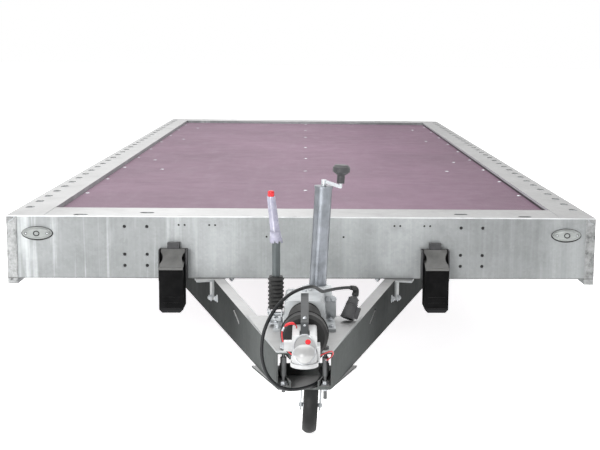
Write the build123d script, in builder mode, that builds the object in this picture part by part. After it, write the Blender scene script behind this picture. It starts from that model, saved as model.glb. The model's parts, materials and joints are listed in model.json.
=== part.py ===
from build123d import *
import math
import os

os.makedirs("parts", exist_ok=True)

# Flat platform trailer with three axles, overrun coupling and jockey wheel.
# Millimetres, +Z up from the floor, +X to the right seen from the coupling, which faces -Y.

# Platform
bed_width = 2400
bed_length = 6000
bed_height = 680
side_beam_depth = 280
cross_beam_depth = 256
side_flange = 147
cross_flange = 235
beam_foot = 40
cross_beam_foot = 50
beam_lip = 20
sheet = 4
deck_recess = 20
board = 18
board_gap = 2
board_seams = (1300, 3600)
deck_shelf = 30

# Lashing slots along the side flanges, and four more in each cross flange
slot_length = 60
slot_width = 32
slot_inset = 41
slot_first = 245
slot_pitch = 179
flange_slot_sides = (650, 910)
flange_slot_set_backs = (95, 35)

# Members below the deck
crossmember_first = 870
crossmember_pitch = 780
crossmember_height = 60
crossmember_width = 44
rail_web = 700
rail_flange = 60
rail_sheet = 5

# Drawbar, two tapered channels that meet at the nose
nose_reach = 1160
nose_half_width = 88
drawbar_front_side = 375
drawbar_rear = 1350
drawbar_nose_depth = 114
drawbar_slope = 2.6
drawbar_flange = 45
drawbar_lip = 22
drawbar_sheet = 5
web_slot_reaches = (450, 550)
web_slot_drops = (32, 59)
web_slot_width = 10
top_plate_length = 480
bottom_plate_length = 310
bottom_plate_fin = 14
gusset = 6
wall_set_back = 170
wall_rise = 40

# Long bolts through the nose
nose_bolt_radius = 6
nose_bolt_side = 66
nose_bolt_set_back = 24
nose_bolt_head_radius = 11
nose_bolt_head = 9
nose_bolt_tail_left = 20
nose_bolt_tail_right = 42
spacer_radius = 10
spacer_top_gap = 20
spacer_under_gap = 34
bolt_clearance = 0.5

# Angle brackets that tie the drawbar to the front beam
bracket_length = 60
bracket_drop = 84
bracket_leg = 70
bracket_sheet = 8

# Overrun device
housing_set_back = 210
housing_length = 200
housing_width = 134
housing_rise = 112
housing_round = 16
housing_foot_width = 208
housing_foot = 10
housing_foot_inset = 30
housing_collar_radius = 44
housing_collar = 10
housing_rib = 8
housing_rib_depth = 5
housing_rib_rise = 50
housing_rib_count = 4
shaft_rise = 60
shaft_radius = 30
shaft_wall = 6
shaft_tail = 10
gaiter_radius = 56
gaiter_fold_depth = 12
gaiter_fold_count = 4
gaiter_collar_radius = 72
gaiter_collar = 60
gaiter_gap = 12

# Coupling head and its handle
coupling_ahead = 295
ball_set_back = 55
head_width = 74
head_under_rise = 28
head_top_rise = 102
head_round = 8
ball_rise = 44
ball_radius = 25
ball_clearance = 0.3
cup_radius = 37
cup_rim_radius = 41
cup_rim = 12
cup_rise = 20
cup_wall = 13
handle_gap = 30
handle_gap_depth = 32
handle_gap_first = 34
handle_gap_last = 95
lock_radius = 17
lock_length = 24
lock_set_back = 38
lock_rise = 70
lock_bolt_radius = 6
lock_bolt_length = 9
cheek_sheet = 9
cheek_length = 70
cheek_height = 46
handle_width = 24
handle_sheet = 8
handle_pivot_radius = 10
handle_pivot_set_back = 62
handle_pivot_rise = 90

# Jack with its jockey wheel
jack_set_back = 60
jack_side = 45
jack_side_rise = 115
jack_lean = 3
jack_tube_radius = 30
jack_tube_drop = 30
jack_top_rise = 454
jack_cap_radius = 32
jack_cap = 8
jack_leg_radius = 25
jack_leg_wall = 4
jack_leg_length = 480
jack_notch_gap = 2
jockey_radius = 100
jockey_width = 50
jockey_rim_radius = 62
jockey_rim_width = 42
jockey_hub_radius = 18
jockey_crown = 12
jockey_axle_radius = 8
jockey_trail = 20
fork_top = 218
fork_gap = 32
fork_sheet = 5
fork_eye_radius = 20
fork_width = 52
fork_crown = 6
running_gap = 0.3

# Crank on the jack, with its knob
crank_hub_radius = 9
crank_hub_height = 22
crank_reach = 58
crank_radius = 6
crank_drop = 15
crank_width = 9
knob_stem_radius = 13.5
knob_stem = 28
knob_radius = 30
knob_height = 36
knob_taper = 12
knob_round = 8

# Clamp that holds the jack tube to the housing
clamp_wall = 9
clamp_margin = 22
clamp_plate = 8
clamp_plate_width = 134
clamp_plate_rise = 87
clamp_plate_chamfer = 12

# Wheels and axles
tyre_radius = 262.5
tyre_width = 195
tyre_shoulder = 34
tyre_bead = 20
rim_radius = 165
wheel_side = 952.5
wheel_offset = 30
disc_sheet = 14
disc_radius = 92
vent_radius = 12
vent_circle = 112
vent_count = 8
hub_radius = 34
hub_reach = 40
hub_cap = 30
drum_radius = 118
drum_width = 74
drum_neck_radius = 70
axle_first = 2600
axle_pitch = 700
axle_count = 3
axle_tube = 80
axle_tube_round = 12
axle_height = 350
axle_seat_margin = 20
arm_reach = 150
arm_side = 745
arm_width = 35
arm_boss_radius = 44
arm_eye_radius = 34
stub_radius = 30
stub_length = 56
backplate_radius = 126
backplate = 6
brake_gap = 6
spindle_radius = 20
spindle_length = 170
spindle_gap = 0.05

# Lamps
lamp_width = 118
lamp_height = 50
lamp_base = 8
lamp_depth = 20
lamp_bezel = 5
lamp_side = 1077
lamp_drop = 70
rear_lamp_width = 240
rear_lamp_height = 110
rear_lamp_depth = 35
rear_lamp_round = 14
rear_lamp_side = 900
rear_lamp_drop = 120

# Wheel chocks and their holders on the front beam
chock_side = 532
chock_width = 95
chock_drop = 372
chock_height = 242
chock_depth = 115
chock_face_height = 170
chock_step = 12
chock_step_depth = 3
chock_ramp_depth = 98
chock_top_depth = 28
chock_corner = 12
chock_pocket_radius = 26
chock_waist = 76
chock_pocket_height = 211
holder_width = 113
holder_sheet = 4
holder_drop = 255
holder_depth = 58
holder_tab_width = 48
holder_tab_rise = 25
holder_tab_depth = 26

# Holes through the front beam: six-hole groups, small pairs and single holes
group_sides = (640, 730)
group_drops = (43, 157, 203)
group_radius = 7
pair_sides = (365, 389, 488, 512)
pair_drop = 36
pair_radius = 4.25
single_side = 157
single_drop = 83

# Handbrake on the left of the housing
brake_side = -98
brake_set_back = 350
bracket_width = 44
bracket_run = 90
bracket_base = 6
bracket_cheek = 5
bracket_rise = 40
bracket_pin_radius = 7
bracket_pin_overhang = 3
brake_gaiter_radius = 28
brake_gaiter_fold = 5
brake_gaiter_height = 112
brake_gaiter_rib_count = 8
lever_radius = 14
lever_length = 128
grip_radius = 17
grip_top_radius = 14
grip_length = 140
grip_lean = -18
grip_back = 30
button_radius = 11
button_length = 20

# Electric cable, its gland and plug
cable_radius = 5.5
gland_side = 58
gland_drop = 108
gland_radius = 12
gland_length = 14
gland_wall = 4
plug_radius = 25
plug_neck_radius = 18
plug_length = 72
plug_boot = 10
plug_boot_radius = 9
plug_straight = 14
plug_socket_depth = 26
plug_socket_radius = 19
plug_side = 146
plug_set_back = 385
plug_key_width = 26
plug_key_depth = 9
plug_key_length = 38
plug_key_start = 9

# Breakaway cable
breakaway_radius = 2

# Stations along the trailer
tow_reach = nose_reach + coupling_ahead
ball_reach = tow_reach - ball_set_back
front = (tow_reach - bed_length - rear_lamp_depth) / 2
rear = front + bed_length
nose = front - nose_reach
ball_y = front - ball_reach
housing_front = nose + housing_set_back
housing_rear = housing_front + housing_length
jack_y = housing_rear + jack_set_back
brake_y = nose + brake_set_back

# Levels and half widths
half_width = bed_width / 2
deck_top = bed_height - deck_recess
deck_under = deck_top - board
beam_inner = half_width - beam_foot
opening_half = half_width - side_flange
frame_under = bed_height - cross_beam_depth
plate_top = frame_under + gusset
housing_top = plate_top + housing_rise
housing_rib_top = plate_top + housing_rib_rise
shaft_height = plate_top + shaft_rise
head_under = plate_top + head_under_rise
head_top = plate_top + head_top_rise
ball_height = plate_top + ball_rise
cup_under = plate_top + cup_rise
lock_height = plate_top + lock_rise
handle_pivot_height = plate_top + handle_pivot_rise
jack_side_height = plate_top + jack_side_rise
jack_top = plate_top + jack_top_rise
clamp_plate_top = plate_top + clamp_plate_rise
jack_tube_bottom = plate_top - jack_tube_drop
gland_height = plate_top - gland_drop
web_slot_heights = [plate_top - drop for drop in web_slot_drops]
chock_bottom = bed_height - chock_drop
holder_bottom = bed_height - holder_drop
crossmember_under = deck_under - crossmember_height
lean = math.radians(jack_lean)
jack_axis = Vector(math.sin(lean), 0, math.cos(lean))


def save(builder, name):
    """Label a finished piece and write it under its own name."""
    builder.part.label = name
    export_step(builder.part, "parts/" + name + ".step")


def across(y):
    """Plane square to the trailer's length at y, with X to the right and Z up."""
    return Plane(origin=(0, y, 0), x_dir=(1, 0, 0), z_dir=(0, -1, 0))


def along(x):
    """Plane square to the trailer's width at x, with Y along and Z up."""
    return Plane(origin=(x, 0, 0), x_dir=(0, 1, 0), z_dir=(1, 0, 0))


def jack_plane(height):
    """Plane square to the jack's axis where the axis passes that height."""
    x = jack_side + (height - jack_side_height) * math.tan(lean)
    return Plane(
        origin=(x, jack_y, height),
        x_dir=(math.cos(lean), 0, -math.sin(lean)),
        z_dir=tuple(jack_axis),
    )


# Side beams, folded sheet with a deck shelf, closed at both ends
slot_count = int((bed_length - slot_first - slot_length) / slot_pitch) + 1
slot_stations = [front + slot_first + slot_pitch * i for i in range(slot_count)]
beam_bottom = bed_height - side_beam_depth
with BuildPart() as side_beam_right:
    with BuildSketch(across(front)):
        with BuildLine():
            Polyline(
                (opening_half, bed_height),
                (half_width, bed_height),
                (half_width, beam_bottom),
                (beam_inner, beam_bottom),
                (beam_inner, beam_bottom + beam_lip),
                (beam_inner + sheet, beam_bottom + beam_lip),
                (beam_inner + sheet, beam_bottom + sheet),
                (half_width - sheet, beam_bottom + sheet),
                (half_width - sheet, bed_height - sheet),
                (opening_half, bed_height - sheet),
                close=True,
            )
        make_face()
    extrude(amount=-bed_length)
    with BuildSketch(across(front + cross_flange)):
        with BuildLine():
            Polyline(
                (opening_half, bed_height),
                (opening_half + sheet, bed_height),
                (opening_half + sheet, deck_under - sheet),
                (opening_half - deck_shelf, deck_under - sheet),
                (opening_half - deck_shelf, deck_under),
                (opening_half, deck_under),
                close=True,
            )
        make_face()
    extrude(amount=-(bed_length - 2 * cross_flange))
    for end in (front, rear - sheet):
        with BuildSketch(across(end)):
            with Locations((half_width - beam_foot / 2, bed_height - side_beam_depth / 2)):
                Rectangle(beam_foot, side_beam_depth)
        extrude(amount=-sheet)
    with BuildSketch(Plane.XY.offset(bed_height)):
        with Locations([(half_width - slot_inset, y) for y in slot_stations]):
            SlotOverall(slot_length, slot_width, rotation=90)
    extrude(amount=-sheet, mode=Mode.SUBTRACT)
save(side_beam_right, "side_beam_right")

with BuildPart() as side_beam_left:
    add(mirror(side_beam_right.part, about=Plane.YZ))
save(side_beam_left, "side_beam_left")

# Front and rear beams, folded sheet between the side beams
with BuildPart() as cross_beam:
    with BuildSketch(along(-beam_inner)):
        with BuildLine():
            Polyline(
                (front, bed_height),
                (front + cross_flange, bed_height),
                (front + cross_flange, deck_under),
                (front + cross_flange + deck_shelf, deck_under),
                (front + cross_flange + deck_shelf, deck_under - sheet),
                (front + cross_flange - sheet, deck_under - sheet),
                (front + cross_flange - sheet, bed_height - sheet),
                (front + sheet, bed_height - sheet),
                (front + sheet, frame_under + sheet),
                (front + cross_beam_foot - sheet, frame_under + sheet),
                (front + cross_beam_foot - sheet, frame_under + beam_lip),
                (front + cross_beam_foot, frame_under + beam_lip),
                (front + cross_beam_foot, frame_under),
                (front, frame_under),
                close=True,
            )
        make_face()
    extrude(amount=2 * beam_inner)
    for side in (-1, 1):
        with BuildSketch(Plane.XY.offset(bed_height)):
            with Locations((side * (opening_half + side_flange / 2), front + cross_flange)):
                Rectangle(side_flange, 2 * cross_flange)
        extrude(amount=-sheet, mode=Mode.SUBTRACT)
        with BuildSketch(Plane.XY.offset(bed_height - sheet)):
            with Locations((side * (opening_half + side_flange / 2), front + sheet + cross_flange)):
                Rectangle(side_flange, 2 * cross_flange)
        extrude(amount=-(bed_height - deck_under), mode=Mode.SUBTRACT)
        with BuildSketch(Plane.XY.offset(deck_under)):
            with Locations((side * (opening_half - deck_shelf / 2), front + cross_flange + deck_shelf / 2)):
                Rectangle(deck_shelf, deck_shelf)
        extrude(amount=-sheet, mode=Mode.SUBTRACT)
        with BuildSketch(Plane.XY.offset(bed_height)):
            for slot_side, set_back in zip(flange_slot_sides, flange_slot_set_backs):
                with Locations((side * slot_side, front + set_back)):
                    SlotOverall(slot_length, slot_width)
        extrude(amount=-sheet, mode=Mode.SUBTRACT)
plain_beam = cross_beam.part

with BuildPart() as front_beam:
    add(plain_beam)
    with BuildSketch(across(front)):
        for side in (-1, 1):
            with Locations([(side * x, bed_height - z) for x in group_sides for z in group_drops]):
                Circle(group_radius)
            with Locations([(side * x, bed_height - pair_drop) for x in pair_sides]):
                Circle(pair_radius)
            with Locations((side * single_side, bed_height - single_drop)):
                Circle(pair_radius)
    extrude(amount=-sheet, mode=Mode.SUBTRACT)
save(front_beam, "front_beam")

with BuildPart() as rear_beam:
    add(mirror(plain_beam, about=Plane.XZ.offset(-(front + rear) / 2)))
save(rear_beam, "rear_beam")

# Plywood deck in three boards, lying on the shelves
board_ends = [cross_flange + board_gap, *board_seams, bed_length - cross_flange - board_gap]
with BuildPart() as deck:
    with BuildSketch(Plane.XY.offset(deck_under)):
        for start, end in zip(board_ends, board_ends[1:]):
            with Locations((0, front + (start + end) / 2)):
                Rectangle(2 * (opening_half - board_gap), end - start - board_gap)
    extrude(amount=board)
save(deck, "deck")

# Crossmembers, channels with notched ends under the deck shelves
crossmember_half = half_width - sheet
crossmember_run = bed_length - crossmember_first - cross_flange - crossmember_width
crossmember_count = int(crossmember_run / crossmember_pitch) + 1
crossmember_centre = crossmember_under + crossmember_height / 2
with BuildPart() as crossmembers:
    for i in range(crossmember_count):
        y = front + crossmember_first + crossmember_pitch * i
        with BuildSketch(along(-crossmember_half)):
            with Locations((y, crossmember_centre)):
                Rectangle(crossmember_width, crossmember_height)
            with Locations((y + sheet, crossmember_centre)):
                Rectangle(crossmember_width, crossmember_height - 2 * sheet, mode=Mode.SUBTRACT)
        extrude(amount=2 * crossmember_half)
    with BuildSketch(Plane.XY.offset(deck_under)):
        with Locations((-opening_half - deck_shelf, 0), (opening_half + deck_shelf, 0)):
            Rectangle(4 * deck_shelf, 2 * bed_length)
    extrude(amount=-sheet, mode=Mode.SUBTRACT)
save(crossmembers, "crossmembers")

# Two long chassis rails between the crossmembers and the axles
rail_height = crossmember_under - frame_under
with BuildPart() as chassis_rails:
    for side in (-1, 1):
        rail_centre = side * (rail_web - rail_flange / 2)
        with BuildSketch(across(front + cross_beam_foot)):
            with Locations((rail_centre, frame_under + rail_height / 2)):
                Rectangle(rail_flange, rail_height)
            with Locations((rail_centre - side * rail_sheet, frame_under + rail_height / 2)):
                Rectangle(rail_flange, rail_height - 2 * rail_sheet, mode=Mode.SUBTRACT)
        extrude(amount=-(bed_length - 2 * cross_beam_foot))
save(chassis_rails, "chassis_rails")

# Drawbar channels: plan strip crossed with the sloping side view
bar_angle = math.atan((drawbar_front_side - nose_half_width) / nose_reach)
slope = math.radians(drawbar_slope)


def bar_edge(reach):
    """Half width over the outer faces of the drawbar at a reach ahead of the front beam."""
    return nose_half_width + (nose_reach - reach) * math.tan(bar_angle)


def bar_under(reach):
    """Height of the drawbar's underside at a reach ahead of the front beam."""
    return frame_under - drawbar_nose_depth - (nose_reach - reach) * math.tan(slope)


def bar_prism(outer, inner, top_inset, under_inset):
    """Solid of the right-hand bar between two distances inside its outer face."""
    outer_shift = outer / math.cos(bar_angle)
    inner_shift = inner / math.cos(bar_angle)
    with BuildPart() as prism:
        with BuildSketch(Plane.XY):
            with BuildLine():
                Polyline(
                    (bar_edge(nose_reach) - outer_shift, nose),
                    (bar_edge(-drawbar_rear) - outer_shift, front + drawbar_rear),
                    (bar_edge(-drawbar_rear) - inner_shift, front + drawbar_rear),
                    (bar_edge(nose_reach) - inner_shift, nose),
                    close=True,
                )
            make_face()
        extrude(amount=bed_height)
        with BuildSketch(along(0)):
            with BuildLine():
                Polyline(
                    (nose, bar_under(nose_reach) + under_inset),
                    (front + drawbar_rear, bar_under(-drawbar_rear) + under_inset),
                    (front + drawbar_rear, frame_under - top_inset),
                    (nose, frame_under - top_inset),
                    close=True,
                )
            make_face()
        extrude(amount=bed_width, mode=Mode.INTERSECT)
    return prism.part


# Outer face of the right-hand bar: X back along the bar from the front beam, Y up
web_face = Plane(
    origin=(bar_edge(0), front, 0),
    x_dir=(math.sin(bar_angle), math.cos(bar_angle), 0),
    z_dir=(math.cos(bar_angle), -math.sin(bar_angle), 0),
)
slot_near, slot_far = (-reach / math.cos(bar_angle) for reach in web_slot_reaches)
slot_rise = web_slot_heights[1] - web_slot_heights[0]
slot_run = slot_far - slot_near
nose_bolt_places = [(side * nose_bolt_side, nose + nose_bolt_set_back) for side in (-1, 1)]

bar_whole = bar_prism(0, drawbar_flange, 0, 0)
bar_hollow = bar_prism(drawbar_sheet, drawbar_flange - drawbar_sheet, drawbar_sheet, drawbar_sheet)
bar_mouth = bar_prism(drawbar_flange / 2, drawbar_flange, drawbar_lip, drawbar_lip)
with BuildPart() as drawbar_right:
    add(bar_whole)
    add(bar_hollow, mode=Mode.SUBTRACT)
    add(bar_mouth, mode=Mode.SUBTRACT)
    with BuildSketch(Plane.XY):
        with Locations(nose_bolt_places[1]):
            Circle(nose_bolt_radius + bolt_clearance)
    extrude(amount=bed_height, mode=Mode.SUBTRACT)
    with BuildSketch(web_face):
        with Locations(((slot_near + slot_far) / 2, sum(web_slot_heights) / 2)):
            SlotCenterToCenter(
                math.hypot(slot_run, slot_rise),
                web_slot_width,
                rotation=math.degrees(math.atan(slot_rise / slot_run)),
            )
    extrude(amount=-drawbar_sheet, mode=Mode.SUBTRACT)
save(drawbar_right, "drawbar_right")

with BuildPart() as drawbar_left:
    add(mirror(drawbar_right.part, about=Plane.YZ))
save(drawbar_left, "drawbar_left")

# Angle brackets against the webs, their upper legs under the front beam
with BuildPart() as bracket_right:
    with BuildSketch(web_face):
        with Locations((0, frame_under - bracket_drop / 2)):
            Rectangle(bracket_length, bracket_drop)
    extrude(amount=bracket_sheet)
    with BuildSketch(web_face):
        with Locations((0, frame_under - bracket_sheet / 2)):
            Rectangle(bracket_length, bracket_sheet)
    extrude(amount=bracket_leg)
with BuildPart() as frame_brackets:
    add(bracket_right.part)
    add(mirror(bracket_right.part, about=Plane.YZ))
save(frame_brackets, "frame_brackets")

# Top gusset plate across the nose
top_plate_rear = nose_reach - top_plate_length
with BuildPart() as top_plate:
    with BuildSketch(Plane.XY.offset(frame_under)):
        with BuildLine():
            Polyline(
                (-bar_edge(nose_reach), nose),
                (bar_edge(nose_reach), nose),
                (bar_edge(top_plate_rear) - gusset, front - top_plate_rear),
                (gusset - bar_edge(top_plate_rear), front - top_plate_rear),
                close=True,
            )
        make_face()
        with Locations(nose_bolt_places):
            Circle(nose_bolt_radius + bolt_clearance, mode=Mode.SUBTRACT)
    extrude(amount=gusset)
    with BuildSketch(jack_plane(frame_under).offset(-gusset)):
        Circle(jack_tube_radius + jack_notch_gap)
    extrude(amount=3 * gusset, mode=Mode.SUBTRACT)
save(top_plate, "top_plate")

# Bottom gusset plate in the slope of the bars' underside, with an upturned wall
under_plane = Plane(
    origin=(0, nose, bar_under(nose_reach)),
    x_dir=(1, 0, 0),
    z_dir=(0, math.sin(slope), math.cos(slope)),
)
bottom_plate_rear = nose_reach - bottom_plate_length
plate_run = bottom_plate_length / math.cos(slope)
wall_reach = nose_reach - wall_set_back
wall_y = nose + wall_set_back
wall_half = bar_edge(wall_reach) - (drawbar_flange + board_gap) / math.cos(bar_angle)
with BuildPart() as bottom_plate:
    with BuildSketch(under_plane):
        with BuildLine():
            Polyline(
                (gusset - bar_edge(nose_reach), 0),
                (bar_edge(nose_reach) - gusset, 0),
                (bar_edge(bottom_plate_rear) + bottom_plate_fin, plate_run),
                (-bar_edge(bottom_plate_rear) - bottom_plate_fin, plate_run),
                close=True,
            )
        make_face()
    extrude(amount=-gusset)
    with BuildSketch(across(wall_y)):
        with Locations((0, bar_under(wall_reach) + (wall_rise - gusset) / 2)):
            Rectangle(2 * wall_half, wall_rise + gusset)
        with Locations((gland_side, gland_height)):
            Circle(gland_radius - gland_wall, mode=Mode.SUBTRACT)
    extrude(amount=-drawbar_sheet)
    with BuildSketch(Plane.XY):
        with Locations(nose_bolt_places):
            Circle(nose_bolt_radius + bolt_clearance)
    extrude(amount=bed_height, mode=Mode.SUBTRACT)
save(bottom_plate, "bottom_plate")

# Overrun housing, a ribbed casting bolted to the top plate
rib_pitch = (housing_length - housing_rib) / (housing_rib_count - 1)
with BuildPart() as overrun_housing:
    with BuildSketch(across(housing_front)):
        with Locations((0, (plate_top + housing_top) / 2)):
            Rectangle(housing_width, housing_top - plate_top)
    extrude(amount=-housing_length)
    fillet(overrun_housing.edges().filter_by(Axis.Y).group_by(Axis.Z)[-1], radius=housing_round)
    with BuildSketch(Plane.XY.offset(plate_top)):
        with Locations((0, housing_front + housing_length / 2)):
            Rectangle(housing_foot_width, housing_length - 2 * housing_foot_inset)
    extrude(amount=housing_foot)
    with BuildSketch(Plane.XY.offset(plate_top)):
        for i in range(housing_rib_count):
            with Locations((0, housing_front + housing_rib / 2 + rib_pitch * i)):
                Rectangle(housing_width + 2 * housing_rib_depth, housing_rib)
    extrude(amount=housing_rib_top - plate_top)
    with BuildSketch(across(housing_front)):
        with Locations((0, shaft_height)):
            Circle(housing_collar_radius)
    extrude(amount=housing_collar)
    with BuildSketch(across(housing_front - housing_collar)):
        with Locations((0, shaft_height)):
            Circle(shaft_radius + running_gap)
    extrude(amount=-(housing_length + housing_collar), mode=Mode.SUBTRACT)
save(overrun_housing, "overrun_housing")

# Draw shaft from the head through the housing
shaft_front = ball_y + handle_gap_last + board_gap
with BuildPart() as draw_shaft:
    with BuildSketch(across(shaft_front)):
        with Locations((0, shaft_height)):
            Circle(shaft_radius)
            Circle(shaft_radius - shaft_wall, mode=Mode.SUBTRACT)
    extrude(amount=-(housing_rear - shaft_tail - shaft_front))
save(draw_shaft, "draw_shaft")

# Bellows between housing and head, with its collar ahead of the nose
fold_front = nose - gaiter_gap
fold_rear = housing_front - housing_collar
collar_front = fold_front - gaiter_collar
fold_pitch = (fold_rear - fold_front) / gaiter_fold_count
collar_edge = gaiter_collar / 6
folds = []
for i in range(gaiter_fold_count):
    folds.append((gaiter_radius, fold_front + fold_pitch * (i + 0.25)))
    folds.append((gaiter_radius - gaiter_fold_depth, fold_front + fold_pitch * (i + 0.75)))
with BuildPart() as coupling_gaiter:
    with BuildSketch(Plane.XY.offset(shaft_height)):
        with BuildLine():
            Polyline(
                (shaft_radius, collar_front),
                (gaiter_collar_radius - collar_edge, collar_front),
                (gaiter_collar_radius, collar_front + collar_edge),
                (gaiter_collar_radius, fold_front - collar_edge),
                (gaiter_radius - gaiter_fold_depth / 2, fold_front),
                *folds,
                (gaiter_radius - gaiter_fold_depth / 2, fold_rear),
                (shaft_radius, fold_rear),
                close=True,
            )
        make_face()
    revolve(axis=Axis((0, 0, shaft_height), (0, 1, 0)))
save(coupling_gaiter, "coupling_gaiter")

# Coupling head: ball cup, a forked neck back to the shaft, lock barrel and side flange
cup_top = ball_height + ball_radius + cup_wall
cup_shoulder = ball_height + cup_wall
neck_half = head_width / 2
with BuildPart() as coupling_head:
    with BuildSketch(along(-neck_half)):
        with BuildLine():
            Polyline(
                (ball_y, head_under),
                (collar_front, head_under),
                (collar_front, head_top),
                (ball_y + handle_gap_first, head_top),
                (ball_y, cup_shoulder),
                close=True,
            )
        make_face()
    extrude(amount=head_width)
    fillet(coupling_head.edges().filter_by(Axis.Y).group_by(Axis.Z)[-1], radius=head_round)
    with BuildSketch(along(0)):
        with BuildLine():
            Polyline(
                (ball_y, cup_top),
                (ball_y, cup_under),
                (ball_y - cup_rim_radius, cup_under),
                (ball_y - cup_rim_radius, cup_under + cup_rim),
                (ball_y - cup_radius, cup_under + cup_rim),
                (ball_y - cup_radius, cup_shoulder),
            )
            RadiusArc((ball_y - cup_radius, cup_shoulder), (ball_y, cup_top), cup_radius)
        make_face()
    revolve(axis=Axis((0, ball_y, 0), (0, 0, 1)))
    with BuildSketch(along(-neck_half - lock_length)):
        with Locations((ball_y + lock_set_back, lock_height)):
            Circle(lock_radius)
    extrude(amount=lock_length + neck_half - handle_gap / 2)
    with BuildSketch(along(-neck_half - lock_length - lock_bolt_length)):
        with Locations((ball_y + lock_set_back, lock_height)):
            Circle(lock_bolt_radius)
    extrude(amount=lock_bolt_length)
    with BuildSketch(along(neck_half)):
        with Locations((ball_y + cheek_length / 2, head_under + cheek_height / 2)):
            RectangleRounded(cheek_length, cheek_height, head_round)
    extrude(amount=cheek_sheet)
    with BuildSketch(Plane.XY.offset(head_top)):
        with Locations((0, ball_y + (handle_gap_first + handle_gap_last) / 2)):
            Rectangle(handle_gap, handle_gap_last - handle_gap_first)
    extrude(amount=-handle_gap_depth, mode=Mode.SUBTRACT)
    with BuildSketch(across(shaft_front)):
        with Locations((0, shaft_height)):
            Circle(shaft_radius)
    extrude(amount=shaft_front - collar_front, mode=Mode.SUBTRACT)
    with Locations((0, ball_y, ball_height)):
        Sphere(ball_radius + ball_clearance, mode=Mode.SUBTRACT)
    with BuildSketch(Plane.XY.offset(cup_under)):
        with Locations((0, ball_y)):
            Circle(ball_radius + ball_clearance)
    extrude(amount=ball_height - cup_under, mode=Mode.SUBTRACT)
save(coupling_head, "coupling_head")

# Coupling handle, a bent strip on a pivot between the neck's cheeks: set back, height over the pivot
handle_bends = ((62, 0), (100, 32), (250, 72), (300, 77))
with BuildPart() as coupling_handle:
    with BuildSketch(along(-handle_width / 2)):
        with BuildLine():
            handle_line = Polyline(*[(ball_y + back, handle_pivot_height + rise) for back, rise in handle_bends])
            offset(handle_line, amount=handle_sheet / 2)
        make_face()
        with Locations((ball_y + handle_pivot_set_back, handle_pivot_height)):
            Circle(handle_pivot_radius)
    extrude(amount=handle_width)
    with BuildSketch(along(-handle_gap / 2)):
        with Locations((ball_y + handle_pivot_set_back, handle_pivot_height)):
            Circle(lock_bolt_radius)
    extrude(amount=handle_gap)
save(coupling_handle, "coupling_handle")

# Jack tube, open below for the leg and capped above
jack_tube_length = (jack_top - jack_tube_bottom) / math.cos(lean)
with BuildPart() as jack_tube:
    with BuildSketch(jack_plane(jack_tube_bottom)):
        Circle(jack_tube_radius)
        Circle(jack_leg_radius + running_gap, mode=Mode.SUBTRACT)
    extrude(amount=jack_tube_length)
    with BuildSketch(jack_plane(jack_top)):
        Circle(jack_cap_radius)
    extrude(amount=jack_cap)
save(jack_tube, "jack_tube")

# Jack crank: hub, sloping flat arm and the pin under the knob
crank_side = Plane(
    origin=tuple(jack_plane(jack_top).origin + Vector(0, crank_width / 2, 0)),
    x_dir=(math.cos(lean), 0, -math.sin(lean)),
    z_dir=(0, -1, 0),
)
arm_height = jack_cap + crank_hub_height - crank_radius
knob_base = arm_height - crank_drop + 2 * crank_radius
with BuildPart() as jack_crank:
    with BuildSketch(jack_plane(jack_top).offset(jack_cap)):
        Circle(crank_hub_radius)
    extrude(amount=crank_hub_height)
    with BuildSketch(crank_side):
        with Locations((0, arm_height), (crank_reach, arm_height - crank_drop)):
            Circle(crank_radius)
        make_hull()
    extrude(amount=crank_width)
    with BuildSketch(jack_plane(jack_top).offset(arm_height - crank_drop)):
        with Locations((crank_reach, 0)):
            Circle(crank_radius)
    extrude(amount=2 * crank_radius)
save(jack_crank, "jack_crank")

with BuildPart() as jack_knob:
    with BuildSketch(crank_side.offset(crank_width / 2)):
        with BuildLine():
            Polyline(
                (crank_reach, knob_base),
                (crank_reach + knob_stem_radius, knob_base),
                (crank_reach + knob_stem_radius, knob_base + knob_stem),
                (crank_reach + knob_radius, knob_base + knob_stem + knob_taper),
                (crank_reach + knob_radius, knob_base + knob_stem + knob_height - knob_round),
                (crank_reach + knob_radius - knob_round, knob_base + knob_stem + knob_height),
                (crank_reach, knob_base + knob_stem + knob_height),
                close=True,
            )
        make_face()
    knob_foot = jack_plane(jack_top).from_local_coords((crank_reach, 0, 0))
    revolve(axis=Axis(knob_foot, jack_axis))
save(jack_knob, "jack_knob")

# Clamp that holds the jack tube against the back of the housing
clamp_height = housing_top - plate_top
clamp_side = jack_side - (jack_side_height - plate_top - clamp_height / 2) * math.tan(lean)
with BuildPart() as jack_clamp:
    with BuildSketch(Plane.XY.offset(plate_top)):
        with Locations((clamp_side, (jack_y + housing_rear) / 2)):
            Rectangle(2 * (jack_tube_radius + clamp_margin), jack_set_back)
        with Locations((clamp_side, jack_y)):
            Circle(jack_tube_radius + clamp_wall)
    extrude(amount=clamp_height)
    with BuildSketch(across(housing_rear)):
        with Locations((clamp_side, (plate_top + clamp_plate_top) / 2)):
            Rectangle(clamp_plate_width, clamp_plate_top - plate_top)
            chamfer(vertices(), length=clamp_plate_chamfer)
    extrude(amount=-clamp_plate)
    with BuildSketch(jack_plane(jack_tube_bottom)):
        Circle(jack_tube_radius)
    extrude(amount=jack_tube_length, mode=Mode.SUBTRACT)
save(jack_clamp, "jack_clamp")

# Jack leg, fork and jockey wheel, the wheel's lowest edge on the floor
crown_radius = ((jockey_width / 2) ** 2 + jockey_crown**2) / (2 * jockey_crown)
wheel_height = (jockey_radius - crown_radius) * math.cos(lean) + crown_radius
with BuildPart() as jack_leg:
    with BuildSketch(jack_plane(fork_top + running_gap)):
        Circle(jack_leg_radius)
        Circle(jack_leg_radius - jack_leg_wall, mode=Mode.SUBTRACT)
    extrude(amount=jack_leg_length)
save(jack_leg, "jack_leg")

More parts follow.
